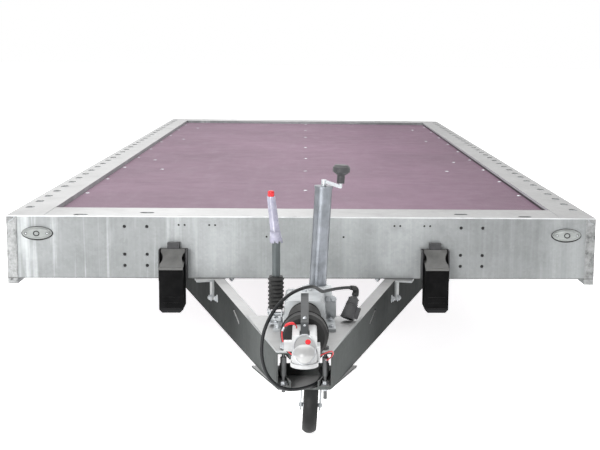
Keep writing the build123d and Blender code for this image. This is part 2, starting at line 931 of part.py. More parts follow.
wheel_centre = jack_plane(wheel_height).origin + Vector(0, jockey_trail, 0)
wheel_plane = Plane(
    origin=tuple(wheel_centre),
    x_dir=(0, 1, 0),
    z_dir=(math.cos(lean), 0, -math.sin(lean)),
)
wheel_section = Plane(origin=tuple(wheel_centre), x_dir=wheel_plane.z_dir, z_dir=wheel_plane.x_dir)
wheel_axis = Axis(tuple(wheel_centre), tuple(wheel_plane.z_dir))
with BuildPart() as jockey_fork:
    with BuildSketch(jack_plane(fork_top)):
        RectangleRounded(2 * (fork_gap + fork_sheet), fork_width, 2 * fork_sheet)
    extrude(amount=-fork_crown)
    for plate_base in (fork_gap, -fork_gap - fork_sheet):
        with BuildSketch(wheel_plane.offset(plate_base)):
            Circle(fork_eye_radius)
            with Locations((-jockey_trail, fork_top - wheel_height - 2 * fork_crown)):
                Rectangle(fork_width, 2 * fork_crown)
            make_hull()
        extrude(amount=fork_sheet)
    with BuildSketch(wheel_plane.offset(-fork_gap - 2 * fork_sheet)):
        Circle(jockey_axle_radius)
    extrude(amount=2 * (fork_gap + 2 * fork_sheet))
save(jockey_fork, "jockey_fork")

tread_edge = jockey_radius - jockey_crown
with BuildPart() as jockey_wheel:
    with BuildSketch(wheel_section):
        with BuildLine():
            Polyline(
                (-jockey_width / 2, tread_edge),
                (-jockey_width / 2, jockey_rim_radius + jockey_crown),
                (-jockey_rim_width / 2, jockey_rim_radius),
                (jockey_rim_width / 2, jockey_rim_radius),
                (jockey_width / 2, jockey_rim_radius + jockey_crown),
                (jockey_width / 2, tread_edge),
            )
            ThreePointArc((jockey_width / 2, tread_edge), (0, jockey_radius), (-jockey_width / 2, tread_edge))
        make_face()
    revolve(axis=wheel_axis)
save(jockey_wheel, "jockey_wheel")

# Jockey wheel rim: hub, thin disc and outer ring
ring_under = jockey_rim_radius - 2 * fork_sheet
disc_half = jockey_rim_width / 8
with BuildPart() as jockey_rim:
    with BuildSketch(wheel_section):
        with BuildLine():
            Polyline(
                (-jockey_rim_width / 2, jockey_rim_radius),
                (-jockey_rim_width / 2, ring_under),
                (-disc_half, ring_under),
                (-disc_half, jockey_hub_radius),
                (-jockey_width / 2, jockey_hub_radius),
                (-jockey_width / 2, jockey_axle_radius + spindle_gap),
                (jockey_width / 2, jockey_axle_radius + spindle_gap),
                (jockey_width / 2, jockey_hub_radius),
                (disc_half, jockey_hub_radius),
                (disc_half, ring_under),
                (jockey_rim_width / 2, ring_under),
                (jockey_rim_width / 2, jockey_rim_radius),
                close=True,
            )
        make_face()
    revolve(axis=wheel_axis)
save(jockey_rim, "jockey_rim")

# Handbrake bracket: base plate, two cheeks and the lever's pin
bracket_top = plate_top + housing_foot + bracket_base + bracket_rise
with BuildPart() as handbrake_bracket:
    with BuildSketch(Plane.XY.offset(plate_top + housing_foot)):
        with Locations((brake_side, brake_y)):
            Rectangle(bracket_width, bracket_run)
    extrude(amount=bracket_base)
    for side in (-1, 1):
        cheek_base = brake_side + side * (bracket_width / 2 - bracket_cheek)
        with BuildSketch(along(cheek_base)):
            with Locations((brake_y, bracket_top - bracket_rise / 2)):
                Rectangle(bracket_run, bracket_rise)
                chamfer(vertices().group_by(Axis.Z)[-1], length=bracket_rise / 2)
        extrude(amount=side * bracket_cheek)
    with BuildSketch(along(brake_side - bracket_width / 2 - bracket_pin_overhang)):
        with Locations((brake_y, bracket_top - bracket_rise / 2)):
            Circle(bracket_pin_radius)
    extrude(amount=bracket_width + 2 * bracket_pin_overhang)
save(handbrake_bracket, "handbrake_bracket")

# Ribbed rubber gaiter over the foot of the lever
rib_outer = brake_gaiter_radius
rib_inner = brake_gaiter_radius - brake_gaiter_fold
rib_pitch = brake_gaiter_height / brake_gaiter_rib_count
ribs = []
for i in range(brake_gaiter_rib_count):
    ribs.append((rib_outer, rib_pitch * (i + 0.25)))
    ribs.append((rib_inner, rib_pitch * (i + 0.75)))
with BuildPart() as handbrake_gaiter:
    with BuildSketch(Plane(origin=(brake_side, brake_y, bracket_top), x_dir=(1, 0, 0), z_dir=(0, -1, 0))):
        with BuildLine():
            Polyline(
                (0, 0),
                (rib_inner, 0),
                *ribs,
                (rib_inner, brake_gaiter_height),
                (0, brake_gaiter_height),
                close=True,
            )
        make_face()
    revolve(axis=Axis((brake_side, brake_y, 0), (0, 0, 1)))
save(handbrake_gaiter, "handbrake_gaiter")

lever_base = bracket_top + brake_gaiter_height
with BuildPart() as handbrake_lever:
    with BuildSketch(Plane.XY.offset(lever_base)):
        with Locations((brake_side, brake_y)):
            Circle(lever_radius)
    extrude(amount=lever_length)
save(handbrake_lever, "handbrake_lever")

# Grip that leans out and back, with the release button in its end
grip_base = lever_base + lever_length
grip_end = (brake_side + grip_lean, brake_y + grip_back)
with BuildPart() as handbrake_grip:
    with BuildSketch(Plane.XY.offset(grip_base)):
        with Locations((brake_side, brake_y)):
            Circle(grip_radius)
    with BuildSketch(Plane.XY.offset(grip_base + grip_length)):
        with Locations(grip_end):
            Circle(grip_top_radius)
    loft(ruled=True)
save(handbrake_grip, "handbrake_grip")

with BuildPart() as handbrake_button:
    with BuildSketch(Plane.XY.offset(grip_base + grip_length)):
        with Locations(grip_end):
            Circle(button_radius)
    extrude(amount=button_length)
    fillet(handbrake_button.edges().group_by(Axis.Z)[-1], radius=button_radius / 2)
save(handbrake_button, "handbrake_button")

# Long bolts through the nose: head, shank, spacer tube and nut; the right one hangs lower
with BuildPart() as nose_bolts:
    for place, tail in zip(nose_bolt_places, (nose_bolt_tail_left, nose_bolt_tail_right)):
        bolt_under = bar_under(nose_reach) - tail
        spacer_under = bar_under(nose_reach) + spacer_under_gap
        spacer_length = frame_under - spacer_top_gap - spacer_under
        with BuildSketch(Plane.XY.offset(plate_top)):
            with Locations(place):
                RegularPolygon(nose_bolt_head_radius, 6)
        extrude(amount=nose_bolt_head)
        with BuildSketch(Plane.XY.offset(bolt_under)):
            with Locations(place):
                Circle(nose_bolt_radius)
        extrude(amount=plate_top - bolt_under)
        with BuildSketch(Plane.XY.offset(spacer_under)):
            with Locations(place):
                Circle(spacer_radius)
        extrude(amount=spacer_length)
save(nose_bolts, "nose_bolts")

# Axles: square tube with trailing arms, stub tubes, spindles and brake backplates
axle_names = ("front", "middle", "rear")
stub_side = arm_side + arm_width
backplate_side = stub_side + stub_length
wheel_stations = [front + axle_first + axle_pitch * i for i in range(axle_count)]
for axle_name, wheel_y in zip(axle_names, wheel_stations):
    tube_y = wheel_y - arm_reach
    with BuildPart() as axle:
        with BuildSketch(along(-arm_side)):
            with Locations((tube_y, axle_height)):
                RectangleRounded(axle_tube, axle_tube, axle_tube_round)
        extrude(amount=2 * arm_side)
        for side in (-1, 1):
            with BuildSketch(along(side * arm_side)):
                with Locations((tube_y, axle_height)):
                    Circle(arm_boss_radius)
                with Locations((wheel_y, tyre_radius)):
                    Circle(arm_eye_radius)
                make_hull()
            extrude(amount=side * arm_width)
            for start, radius, length in (
                (stub_side, stub_radius, stub_length),
                (backplate_side, backplate_radius, backplate),
                (stub_side, spindle_radius, spindle_length),
            ):
                with BuildSketch(along(side * start)):
                    with Locations((wheel_y, tyre_radius)):
                        Circle(radius)
                extrude(amount=side * length)
            with BuildSketch(Plane.XY.offset(axle_height)):
                with Locations((side * (rail_web - rail_flange / 2), tube_y)):
                    Rectangle(rail_flange, axle_tube + 2 * axle_seat_margin)
            extrude(amount=frame_under - axle_height)
    save(axle, "axle_" + axle_name)

# Tyres: half section as offset from the middle plane and radius, mirrored by the sign
tyre_half = tyre_width / 2
tyre_section = (
    (tyre_half - tyre_shoulder, tyre_radius),
    (tyre_half - tyre_bead, tyre_radius - tyre_shoulder / 6),
    (tyre_half - tyre_bead / 4, tyre_radius - tyre_shoulder),
    (tyre_half, tyre_radius - 2 * tyre_shoulder + tyre_bead / 2),
    (tyre_half - tyre_bead / 4, rim_radius + tyre_bead),
    (tyre_half - tyre_bead, rim_radius),
)
# Rims: outline round the section from the inner edge, same columns
rim_half = tyre_half - tyre_bead
drum_start = backplate_side + backplate + brake_gap - wheel_side
rim_lip = tyre_bead / 2
disc_face = wheel_offset + disc_sheet
rim_section = (
    (-rim_half, rim_radius),
    (rim_half, rim_radius),
    (rim_half, rim_radius - rim_lip),
    (rim_half - tyre_bead, rim_radius - disc_sheet),
    (disc_face, disc_radius),
    (disc_face, hub_radius),
    (wheel_offset + hub_reach, hub_cap),
    (wheel_offset + hub_reach, 0),
    (wheel_offset, 0),
    (wheel_offset, spindle_radius + spindle_gap),
    (drum_start, spindle_radius + spindle_gap),
    (drum_start, drum_radius),
    (drum_start + drum_width, drum_radius),
    (drum_start + drum_width, drum_neck_radius),
    (wheel_offset - disc_sheet / 2, drum_neck_radius),
    (wheel_offset, disc_radius),
    (rim_half - tyre_bead - disc_sheet, rim_radius - 2 * disc_sheet),
    (-rim_half + tyre_bead, rim_radius - disc_sheet),
    (-rim_half, rim_radius - rim_lip),
)
for axle_name, wheel_y in zip(axle_names, wheel_stations):
    spin = Axis((0, wheel_y, tyre_radius), (1, 0, 0))
    for side, side_name in ((-1, "left"), (1, "right")):
        section_plane = Plane(
            origin=(side * wheel_side, wheel_y, tyre_radius),
            x_dir=(side, 0, 0),
            z_dir=(0, -side, 0),
        )
        with BuildPart() as tyre:
            with BuildSketch(section_plane):
                with BuildLine():
                    mirrored = [(-offset, radius) for offset, radius in reversed(tyre_section)]
                    Polyline(*tyre_section, *mirrored, close=True)
                make_face()
            revolve(axis=spin)
        save(tyre, "tyre_" + axle_name + "_" + side_name)
        with BuildPart() as rim:
            with BuildSketch(section_plane):
                with BuildLine():
                    Polyline(*rim_section, close=True)
                make_face()
            revolve(axis=spin)
            with BuildSketch(along(side * (wheel_side + wheel_offset - disc_sheet))):
                with Locations((wheel_y, tyre_radius)):
                    with PolarLocations(vent_circle, vent_count):
                        Circle(vent_radius)
            extrude(amount=side * tyre_width / 2, mode=Mode.SUBTRACT)
        save(rim, "rim_" + axle_name + "_" + side_name)

# Oval front marker lamps: base and raised lens
lamp_places = [(side * lamp_side, bed_height - lamp_drop) for side in (-1, 1)]
with BuildPart() as front_lamps:
    with BuildSketch(across(front)):
        with Locations(lamp_places):
            Ellipse(lamp_width / 2, lamp_height / 2)
    extrude(amount=lamp_base)
    with BuildSketch(across(front - lamp_base)):
        with Locations(lamp_places):
            Ellipse(lamp_width / 2 - lamp_bezel, lamp_height / 2 - lamp_bezel)
    extrude(amount=lamp_depth - lamp_base)
    chamfer(front_lamps.faces().sort_by(Axis.Y)[:2].edges(), length=lamp_bezel)
save(front_lamps, "front_lamps")

# Rear lamp clusters on the rear beam
rear_lamp_places = [(side * rear_lamp_side, bed_height - rear_lamp_drop) for side in (-1, 1)]
with BuildPart() as rear_lamps:
    with BuildSketch(across(rear)):
        with Locations(rear_lamp_places):
            RectangleRounded(rear_lamp_width, rear_lamp_height, rear_lamp_round)
    extrude(amount=-rear_lamp_depth)
save(rear_lamps, "rear_lamps")

# Chock holders: back plate, two cheeks and a spring tab over the top
chock_top = chock_bottom + chock_height
cheek_centre = (holder_width - holder_sheet) / 2
with BuildPart() as chock_holders:
    for side in (-1, 1):
        with BuildSketch(across(front)):
            with Locations((side * chock_side, (holder_bottom + chock_top) / 2)):
                Rectangle(holder_width, chock_top - holder_bottom)
        extrude(amount=holder_sheet)
        with BuildSketch(Plane.XY.offset(holder_bottom)):
            with Locations((side * chock_side, front - holder_depth / 2)):
                with Locations((-cheek_centre, 0), (cheek_centre, 0)):
                    Rectangle(holder_sheet, holder_depth)
        extrude(amount=chock_top - holder_bottom)
        with BuildSketch(Plane.XY.offset(chock_top)):
            with Locations((side * chock_side, front - holder_tab_depth / 2)):
                Rectangle(holder_tab_width, holder_tab_depth)
        extrude(amount=holder_tab_rise)
save(chock_holders, "chock_holders")

# Wheel chocks: wedges stored point up, hollow ramp above a thick foot, waisted by side pockets
chock_back = front - holder_sheet
ramp_foot = chock_bottom + chock_face_height
pocket_centre = chock_waist / 2 + chock_pocket_radius
with BuildPart() as wheel_chocks:
    for side in (-1, 1):
        centre = side * chock_side
        with BuildSketch(along(centre - chock_width / 2)):
            with BuildLine():
                Polyline(
                    (chock_back - chock_ramp_depth, ramp_foot + chock_step),
                    (chock_back - chock_depth - chock_step_depth, ramp_foot + chock_step),
                    (chock_back - chock_depth - chock_step_depth, ramp_foot),
                    (chock_back - chock_depth, ramp_foot),
                    (chock_back - chock_depth, chock_bottom),
                    (chock_back, chock_bottom),
                    (chock_back, chock_top),
                    (chock_back - chock_top_depth, chock_top),
                )
                RadiusArc(
                    (chock_back - chock_top_depth, chock_top),
                    (chock_back - chock_ramp_depth, ramp_foot + chock_step),
                    tyre_radius,
                )
            make_face()
        extrude(amount=chock_width)
        with BuildSketch(across(chock_back)):
            with Locations((centre, chock_bottom + chock_pocket_height)):
                with Locations((-pocket_centre, 0), (pocket_centre, 0)):
                    Circle(chock_pocket_radius)
            with Locations((centre, chock_bottom)):
                with Locations((-chock_width / 2, 0), (chock_width / 2, 0)):
                    Rectangle(math.sqrt(2) * chock_corner, math.sqrt(2) * chock_corner, rotation=45)
        extrude(amount=2 * chock_depth, mode=Mode.SUBTRACT)
save(wheel_chocks, "wheel_chocks")

# Rubber gland in the upturned wall, where the cable leaves
with BuildPart() as cable_gland:
    with BuildSketch(across(wall_y)):
        with Locations((gland_side, gland_height)):
            Circle(gland_radius)
    extrude(amount=gland_length)
    with BuildSketch(across(wall_y)):
        with Locations((gland_side, gland_height)):
            Circle(gland_radius - gland_wall - running_gap)
    extrude(amount=-drawbar_sheet)
save(cable_gland, "cable_gland")

# Plug standing on its rim on the top plate, mouth down and forward
plug_lean = Vector(0.33, 0.35, 0.877).normalized()
rim_drop = plug_radius * math.sqrt(1 - plug_lean.Z**2)
plug_mouth = Vector(plug_side, nose + plug_set_back, plate_top + running_gap + rim_drop)
plug_plane = Plane(origin=tuple(plug_mouth), x_dir=(plug_lean.Z, 0, -plug_lean.X), z_dir=tuple(plug_lean))
with BuildPart() as plug:
    with BuildSketch(plug_plane):
        Circle(plug_radius)
    with BuildSketch(plug_plane.offset(plug_length)):
        Circle(plug_neck_radius)
    loft()
    with BuildSketch(plug_plane.offset(plug_length)):
        Circle(plug_neck_radius)
    with BuildSketch(plug_plane.offset(plug_length + plug_boot)):
        Circle(plug_boot_radius)
    loft()
    with BuildSketch(plug_plane):
        Circle(plug_socket_radius)
    extrude(amount=plug_socket_depth, mode=Mode.SUBTRACT)
    with BuildSketch(plug_plane.offset(plug_key_start)):
        with Locations(((plug_socket_radius + plug_radius + plug_key_depth) / 2, 0)):
            Rectangle(plug_radius + plug_key_depth - plug_socket_radius, plug_key_width)
    extrude(amount=plug_key_length)
save(plug, "plug")


def cord(route, radius):
    """Round cord along a route of points, its corners rounded to nearly half the shorter run."""
    runs = [(b - a).length for a, b in zip(route, route[1:])]
    turns = [(b - a).get_angle(c - b) for a, b, c in zip(route, route[1:], route[2:])]
    radii = [
        0.45 * min(before, after) / math.tan(math.radians(turn) / 2)
        for before, after, turn in zip(runs, runs[1:], turns)
    ]
    with BuildPart() as made:
        with BuildLine() as line:
            FilletPolyline(*route, radius=radii)
        path = line.wires()[0]
        with BuildSketch(Plane(origin=path @ 0, z_dir=path % 0)):
            Circle(radius)
        sweep()
    print("cord", round(path.length), "ratio", round(made.part.volume / math.pi / radius**2 / path.length, 4))
    return made


# Cable from the gland, round the nose and over the handle to the plug: x, set back, height
cable_route = (
    (gland_side, 156, gland_height),
    (gland_side, 125, gland_height),
    (54, 75, 321),
    (38, 12, 319),
    (-8, -38, 318),
    (-64, -60, 322),
    (-112, -54, 356),
    (-134, -42, 418),
    (-130, -26, 492),
    (-100, 0, 556),
    (-58, 28, 598),
    (-14, 56, 617),
    (28, 94, 617),
    (46, 165, 590),
    (58, 240, 566),
    (97, 317, 560),
    (139, 373, 553),
    (160, 397, 548),
    (176, 416, 541),
)
cable_end = plug_mouth + plug_lean * (plug_length + plug_boot)
cable_points = [Vector(x, nose + set_back, z) for x, set_back, z in cable_route]
electric_cable = cord([*cable_points, cable_end + plug_lean * plug_straight, cable_end], cable_radius)
save(electric_cable, "electric_cable")

# Thin breakaway cable from the head's left cheek, under the head to the right nose bolt
breakaway_route = (
    (-24, -120, head_top),
    (-24, -120, 540),
    (-36, -120, 549),
    (-56, -120, 544),
    (-69, -122, 524),
    (-67, -124, 496),
    (-54, -124, 466),
    (-30, -122, 443),
    (0, -120, 436),
    (34, -118, 440),
    (64, -112, 454),
    (84, -96, 456),
    (89, -70, 440),
    (82, -42, 420),
    (70, -14, 404),
    (nose_bolt_side, 6, 399),
    (nose_bolt_side, nose_bolt_set_back - spacer_radius, 399),
)
breakaway_points = [Vector(x, nose + set_back, z) for x, set_back, z in breakaway_route]
breakaway_cable = cord(breakaway_points, breakaway_radius)
save(breakaway_cable, "breakaway_cable")
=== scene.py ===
import json
import math
import random

import bmesh
import bpy
from mathutils import Matrix, Vector
from mathutils.bvhtree import BVHTree


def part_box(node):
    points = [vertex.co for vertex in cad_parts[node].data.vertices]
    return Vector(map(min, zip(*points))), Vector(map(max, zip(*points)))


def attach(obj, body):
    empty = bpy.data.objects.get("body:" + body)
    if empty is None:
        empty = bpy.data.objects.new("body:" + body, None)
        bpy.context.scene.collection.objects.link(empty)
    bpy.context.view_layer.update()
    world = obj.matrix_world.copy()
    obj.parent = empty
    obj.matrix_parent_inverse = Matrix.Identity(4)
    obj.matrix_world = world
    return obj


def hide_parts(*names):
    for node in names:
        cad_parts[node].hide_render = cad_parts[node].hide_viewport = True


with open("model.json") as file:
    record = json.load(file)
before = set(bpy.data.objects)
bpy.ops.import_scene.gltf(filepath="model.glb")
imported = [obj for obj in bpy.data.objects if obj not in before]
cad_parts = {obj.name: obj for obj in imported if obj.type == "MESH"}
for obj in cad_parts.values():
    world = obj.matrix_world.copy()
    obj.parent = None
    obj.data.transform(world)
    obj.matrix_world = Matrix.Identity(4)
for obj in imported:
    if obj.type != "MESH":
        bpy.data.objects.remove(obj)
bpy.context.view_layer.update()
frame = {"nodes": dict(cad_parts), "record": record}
nodes = frame["nodes"]
dice = random.Random(7)

# Driving sizes of the trailer, in metres, as in the part's own source
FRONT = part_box("side_beam_left")[0].y
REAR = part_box("side_beam_left")[1].y
BED_TOP = 0.680
DECK_TOP = 0.660
FRAME_UNDER = 0.424
SHEET = 0.004
NOSE_REACH = 1.160
NOSE = FRONT - NOSE_REACH
NOSE_HALF_WIDTH = 0.088
BAR_SPREAD = 0.375
BAR_ANGLE = math.atan((BAR_SPREAD - NOSE_HALF_WIDTH) / NOSE_REACH)
PLATE_TOP = 0.430
BALL_Y = FRONT - 1.400
FIRST_AXLE = 2.600
AXLE_PITCH = 0.700
AXLES = ("front", "middle", "rear")

# The photograph's frame and the camera fitted to it
PHOTO_WIDTH = 600
PHOTO_HEIGHT = 450
CAMERA_BEHIND = 4.717
CAMERA_ABOVE_DECK = 0.704
CAMERA_YAW = 3.30
CAMERA_PITCH = 8.53
CAMERA_ROLL = 0.80
CAMERA_FOCAL_PIXELS = 1169.3
CAMERA_CENTRE = (371.9, 218.4)
SENSOR = 36.0


def add_object(name, data):
    """A new object of some data, in the scene."""
    made = bpy.data.objects.new(name, data)
    bpy.context.scene.collection.objects.link(made)
    return made


def make_camera():
    """Camera at the photograph's viewing angle, with the shift its framing needs."""
    data = bpy.data.cameras.new("camera")
    data.sensor_width = SENSOR
    data.lens = SENSOR * CAMERA_FOCAL_PIXELS / PHOTO_WIDTH
    data.shift_x = (PHOTO_WIDTH / 2 - CAMERA_CENTRE[0]) / PHOTO_WIDTH
    data.shift_y = (CAMERA_CENTRE[1] - PHOTO_HEIGHT / 2) / PHOTO_WIDTH
    data.clip_end = 200
    camera = add_object("camera", data)
    yaw, pitch, roll = (math.radians(a) for a in (CAMERA_YAW, CAMERA_PITCH, CAMERA_ROLL))
    forward = Vector((math.sin(yaw) * math.cos(pitch), math.cos(yaw) * math.cos(pitch), -math.sin(pitch)))
    level = Vector((math.cos(yaw), -math.sin(yaw), 0))
    upward = level.cross(forward)
    right = math.cos(roll) * level + math.sin(roll) * upward
    top = -math.sin(roll) * level + math.cos(roll) * upward
    turn = Matrix((right, top, -forward)).transposed().to_4x4()
    place = (0, FRONT - CAMERA_BEHIND, BED_TOP + CAMERA_ABOVE_DECK)
    camera.matrix_world = Matrix.Translation(place) @ turn
    bpy.context.scene.camera = camera


# Routes of the cords, as in the part's source: x, distance behind the nose, height
CABLE_RADIUS = 0.0055
CABLE_ROUTE = (
    (0.058, 0.156, 0.322), (0.058, 0.125, 0.322), (0.054, 0.075, 0.321), (0.038, 0.012, 0.319),
    (-0.008, -0.038, 0.318), (-0.064, -0.060, 0.322), (-0.112, -0.054, 0.356), (-0.134, -0.042, 0.418),
    (-0.130, -0.026, 0.492), (-0.100, 0.000, 0.556), (-0.058, 0.028, 0.598), (-0.014, 0.056, 0.617),
    (0.028, 0.094, 0.617), (0.046, 0.165, 0.590), (0.058, 0.240, 0.566), (0.097, 0.317, 0.560),
    (0.139, 0.373, 0.553), (0.160, 0.397, 0.548), (0.176, 0.416, 0.541),
)
BREAKAWAY_RADIUS = 0.002
BREAKAWAY_ROUTE = (
    (-0.024, -0.120, 0.532), (-0.024, -0.120, 0.540), (-0.036, -0.120, 0.549), (-0.056, -0.120, 0.544),
    (-0.069, -0.122, 0.524), (-0.067, -0.124, 0.496), (-0.054, -0.124, 0.466), (-0.030, -0.122, 0.443),
    (0.000, -0.120, 0.436), (0.034, -0.118, 0.440), (0.064, -0.112, 0.454), (0.084, -0.096, 0.456),
    (0.089, -0.070, 0.440), (0.082, -0.042, 0.420), (0.070, -0.014, 0.404), (0.066, 0.006, 0.399),
    (0.066, 0.014, 0.399),
)

# The plug that stands on the top plate, as in the part's source
PLUG_LEAN = Vector((0.33, 0.35, 0.877)).normalized()
PLUG_RADIUS = 0.025
PLUG_BOOT_END = 0.082
PLUG_STRAIGHT = 0.014
PLUG_SIDE = 0.146
PLUG_SET_BACK = 0.385
RUNNING_GAP = 0.0003
PLUG_RIM_DROP = PLUG_RADIUS * math.sqrt(1 - PLUG_LEAN.z**2)
PLUG_MOUTH = Vector((PLUG_SIDE, NOSE + PLUG_SET_BACK, PLATE_TOP + RUNNING_GAP + PLUG_RIM_DROP))


def make_cord(name, points, radius, node, finish):
    """Smooth cord on its route's control points, in the place of its CAD tube."""
    curve = bpy.data.curves.new(name, "CURVE")
    curve.dimensions = "3D"
    curve.bevel_depth = radius
    curve.bevel_resolution = 5
    curve.resolution_u = 12
    curve.use_fill_caps = True
    spline = curve.splines.new("NURBS")
    spline.points.add(len(points) - 1)
    for control, point in zip(spline.points, points):
        control.co = (*point, 1)
    spline.order_u = 3
    spline.use_endpoint_u = True
    curve.materials.append(FINISHES[finish])
    cord = add_object(name, curve)
    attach(cord, "chassis")
    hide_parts(node)
    return cord


def make_cords():
    """The electric cable with its plug, and the thin breakaway cable."""
    cable_end = PLUG_MOUTH + PLUG_LEAN * PLUG_BOOT_END
    points = [Vector((x, NOSE + set_back, z)) for x, set_back, z in CABLE_ROUTE]
    points += [cable_end + PLUG_LEAN * PLUG_STRAIGHT, cable_end]
    cable = make_cord(
        "cable", points, CABLE_RADIUS, "electric_cable", "cable_jacket"
    )
    points = [Vector((x, NOSE + set_back, z)) for x, set_back, z in BREAKAWAY_ROUTE]
    thin = make_cord(
        "breakaway", points, BREAKAWAY_RADIUS, "breakaway_cable", "red_jacket"
    )
    return cable, thin


# Procedural materials, in the object's own metres


class Graph:
    """The nodes of a material or of the world."""

    def __init__(self, tree):
        self.tree = tree

    def node(self, kind, inputs=None, **settings):
        """A new node with its settings and its inputs, given as values or as sockets to link."""
        made = self.tree.nodes.new("ShaderNode" + kind)
        for key, value in settings.items():
            setattr(made, key, value)
        for key, value in (inputs or {}).items():
            if isinstance(value, bpy.types.NodeSocket):
                self.tree.links.new(value, made.inputs[key])
            else:
                made.inputs[key].default_value = value
        return made

    def math(self, operation, first, second=0.0):
        """A math node's value."""
        return self.node("Math", {0: first, 1: second}, operation=operation).outputs["Value"]


class Finish(Graph):
    """A node material built around one principled shader."""

    def __init__(self, name, roughness=0.5, metallic=0.0, **sockets):
        self.material = bpy.data.materials.new(name)
        self.material.use_nodes = True
        super().__init__(self.material.node_tree)
        self.shader = self.tree.nodes["Principled BSDF"]
        self.shader.inputs["Roughness"].default_value = roughness
        self.shader.inputs["Metallic"].default_value = metallic
        for socket, value in sockets.items():
            self.shader.inputs[socket.replace("_", " ")].default_value = value
        self.place = self.node("TexCoord").outputs["Object"]

    def noise(self, scale, detail=3.0, rough=0.55, stretch=(1, 1, 1)):
        """Noise from 0 to 1, scale in cells per metre, more of them along a stretched axis."""
        where = self.node("Mapping", {"Vector": self.place, "Scale": stretch}).outputs["Vector"]
        inputs = {"Vector": where, "Scale": scale, "Detail": detail, "Roughness": rough}
        return self.node("TexNoise", inputs).outputs["Fac"]

    def cells(self, scale):
        """Voronoi cells of different greys, scale in cells per metre."""
        return self.node("TexVoronoi", {"Vector": self.place, "Scale": scale}).outputs["Color"]

    def waves(self, scale, axis="X"):
        """Even waves along an axis."""
        inputs = {"Vector": self.place, "Scale": scale}
        return self.node("TexWave", inputs, bands_direction=axis).outputs["Fac"]

    def ramp(self, value, *stops):
        """Colour ramp of (position, colour) stops, a grey where the colour is one number."""
        made = self.node("ValToRGB", {"Fac": value})
        elements = made.color_ramp.elements
        while len(elements) < len(stops):
            elements.new(0.5)
        for element, (position, colour) in zip(elements, stops):
            element.position = position
            grey = isinstance(colour, (int, float))
            element.color = (colour, colour, colour, 1) if grey else (*colour, 1)
        return made.outputs["Color"]

    def mix(self, factor, first, second, blend="MIX"):
        """Two colours mixed by a factor."""
        made = self.node("Mix", data_type="RGBA", blend_type=blend)
        for index, value in ((0, factor), (6, first), (7, second)):
            if isinstance(value, bpy.types.NodeSocket):
                self.tree.links.new(value, made.inputs[index])
            elif index == 0:
                made.inputs[0].default_value = value
            else:
                made.inputs[index].default_value = (*value, 1)
        return made.outputs[2]

    def tinted(self, first, second):
        """Two colours multiplied."""
        return self.mix(1.0, first, second, "MULTIPLY")

    def times(self, value, *others):
        """Values multiplied with each other."""
        for other in others:
            value = self.math("MULTIPLY", value, other)
        return value

    def between(self, value, low, high):
        """A value from 0 to 1 spread between two limits."""
        return self.node("MapRange", {"Value": value, "To Min": low, "To Max": high}).outputs["Result"]

    def fade(self, value, low, high, at_low=0.0, at_high=1.0):
        """A value carried from one range to another, and held beyond its ends."""
        return self.node("MapRange", {0: value, 1: low, 2: high, 3: at_low, 4: at_high}).outputs[0]

    def facing(self, axis):
        """How far the surface faces along a world axis, from -1 to 1."""
        normal = self.node("NewGeometry").outputs["Normal"]
        return self.node("SeparateXYZ", {"Vector": normal}).outputs[axis]

    def along(self, axis):
        """The place along one of the object's axes."""
        return self.node("SeparateXYZ", {"Vector": self.place}).outputs[axis]

    def inside(self, *limits):
        """One where every value lies between its limits, zero elsewhere."""
        tests = []
        for value, low, high in limits:
            tests.append(self.math("GREATER_THAN", value, low))
            tests.append(self.math("LESS_THAN", value, high))
        return self.times(*tests)

    def colour(self, socket):
        """Base colour."""
        self.tree.links.new(socket, self.shader.inputs["Base Color"])

    def roughness(self, socket):
        """Roughness."""
        self.tree.links.new(socket, self.shader.inputs["Roughness"])

    def bump(self, height, strength, distance):
        """Surface relief from a height, its distance in metres."""
        made = self.node("Bump", {"Height": height, "Strength": strength, "Distance": distance})
        self.tree.links.new(made.outputs["Normal"], self.shader.inputs["Normal"])


# Painted light: tone of the faces that look ahead, from the left end of the beam to the right one, as the
# studio light falls off
FRONT_PAINTED_LIGHT = (
    (0.04, 0.90), (0.09, 0.75), (0.136, 0.685), (0.27, 0.70), (0.37, 0.95), (0.655, 1.0), (0.74, 0.68),
    (0.82, 0.605), (0.90, 0.68), (0.955, 0.74),
)
# Sides of the mottled strips at the front beam's ends, of the lip beside the deck with its painted
# highlight and shade, and of the inner webs with their painted glow
END_STRIP = (1.158, 1.3)
END_PATCHES = ((0.34, (0.14, 0.143, 0.143)), (0.46, (0.285, 0.292, 0.292)), (0.60, (0.385, 0.392, 0.392)))
LIP_SIDE = (1.0, 1.1)
LIP_FOLD = DECK_TOP + 0.0085
WEB_SIDE = (1.185, 1.1985)
# Limits of a normal that points the negative way along an axis
BACKWARDS = (-1.1, -0.7)


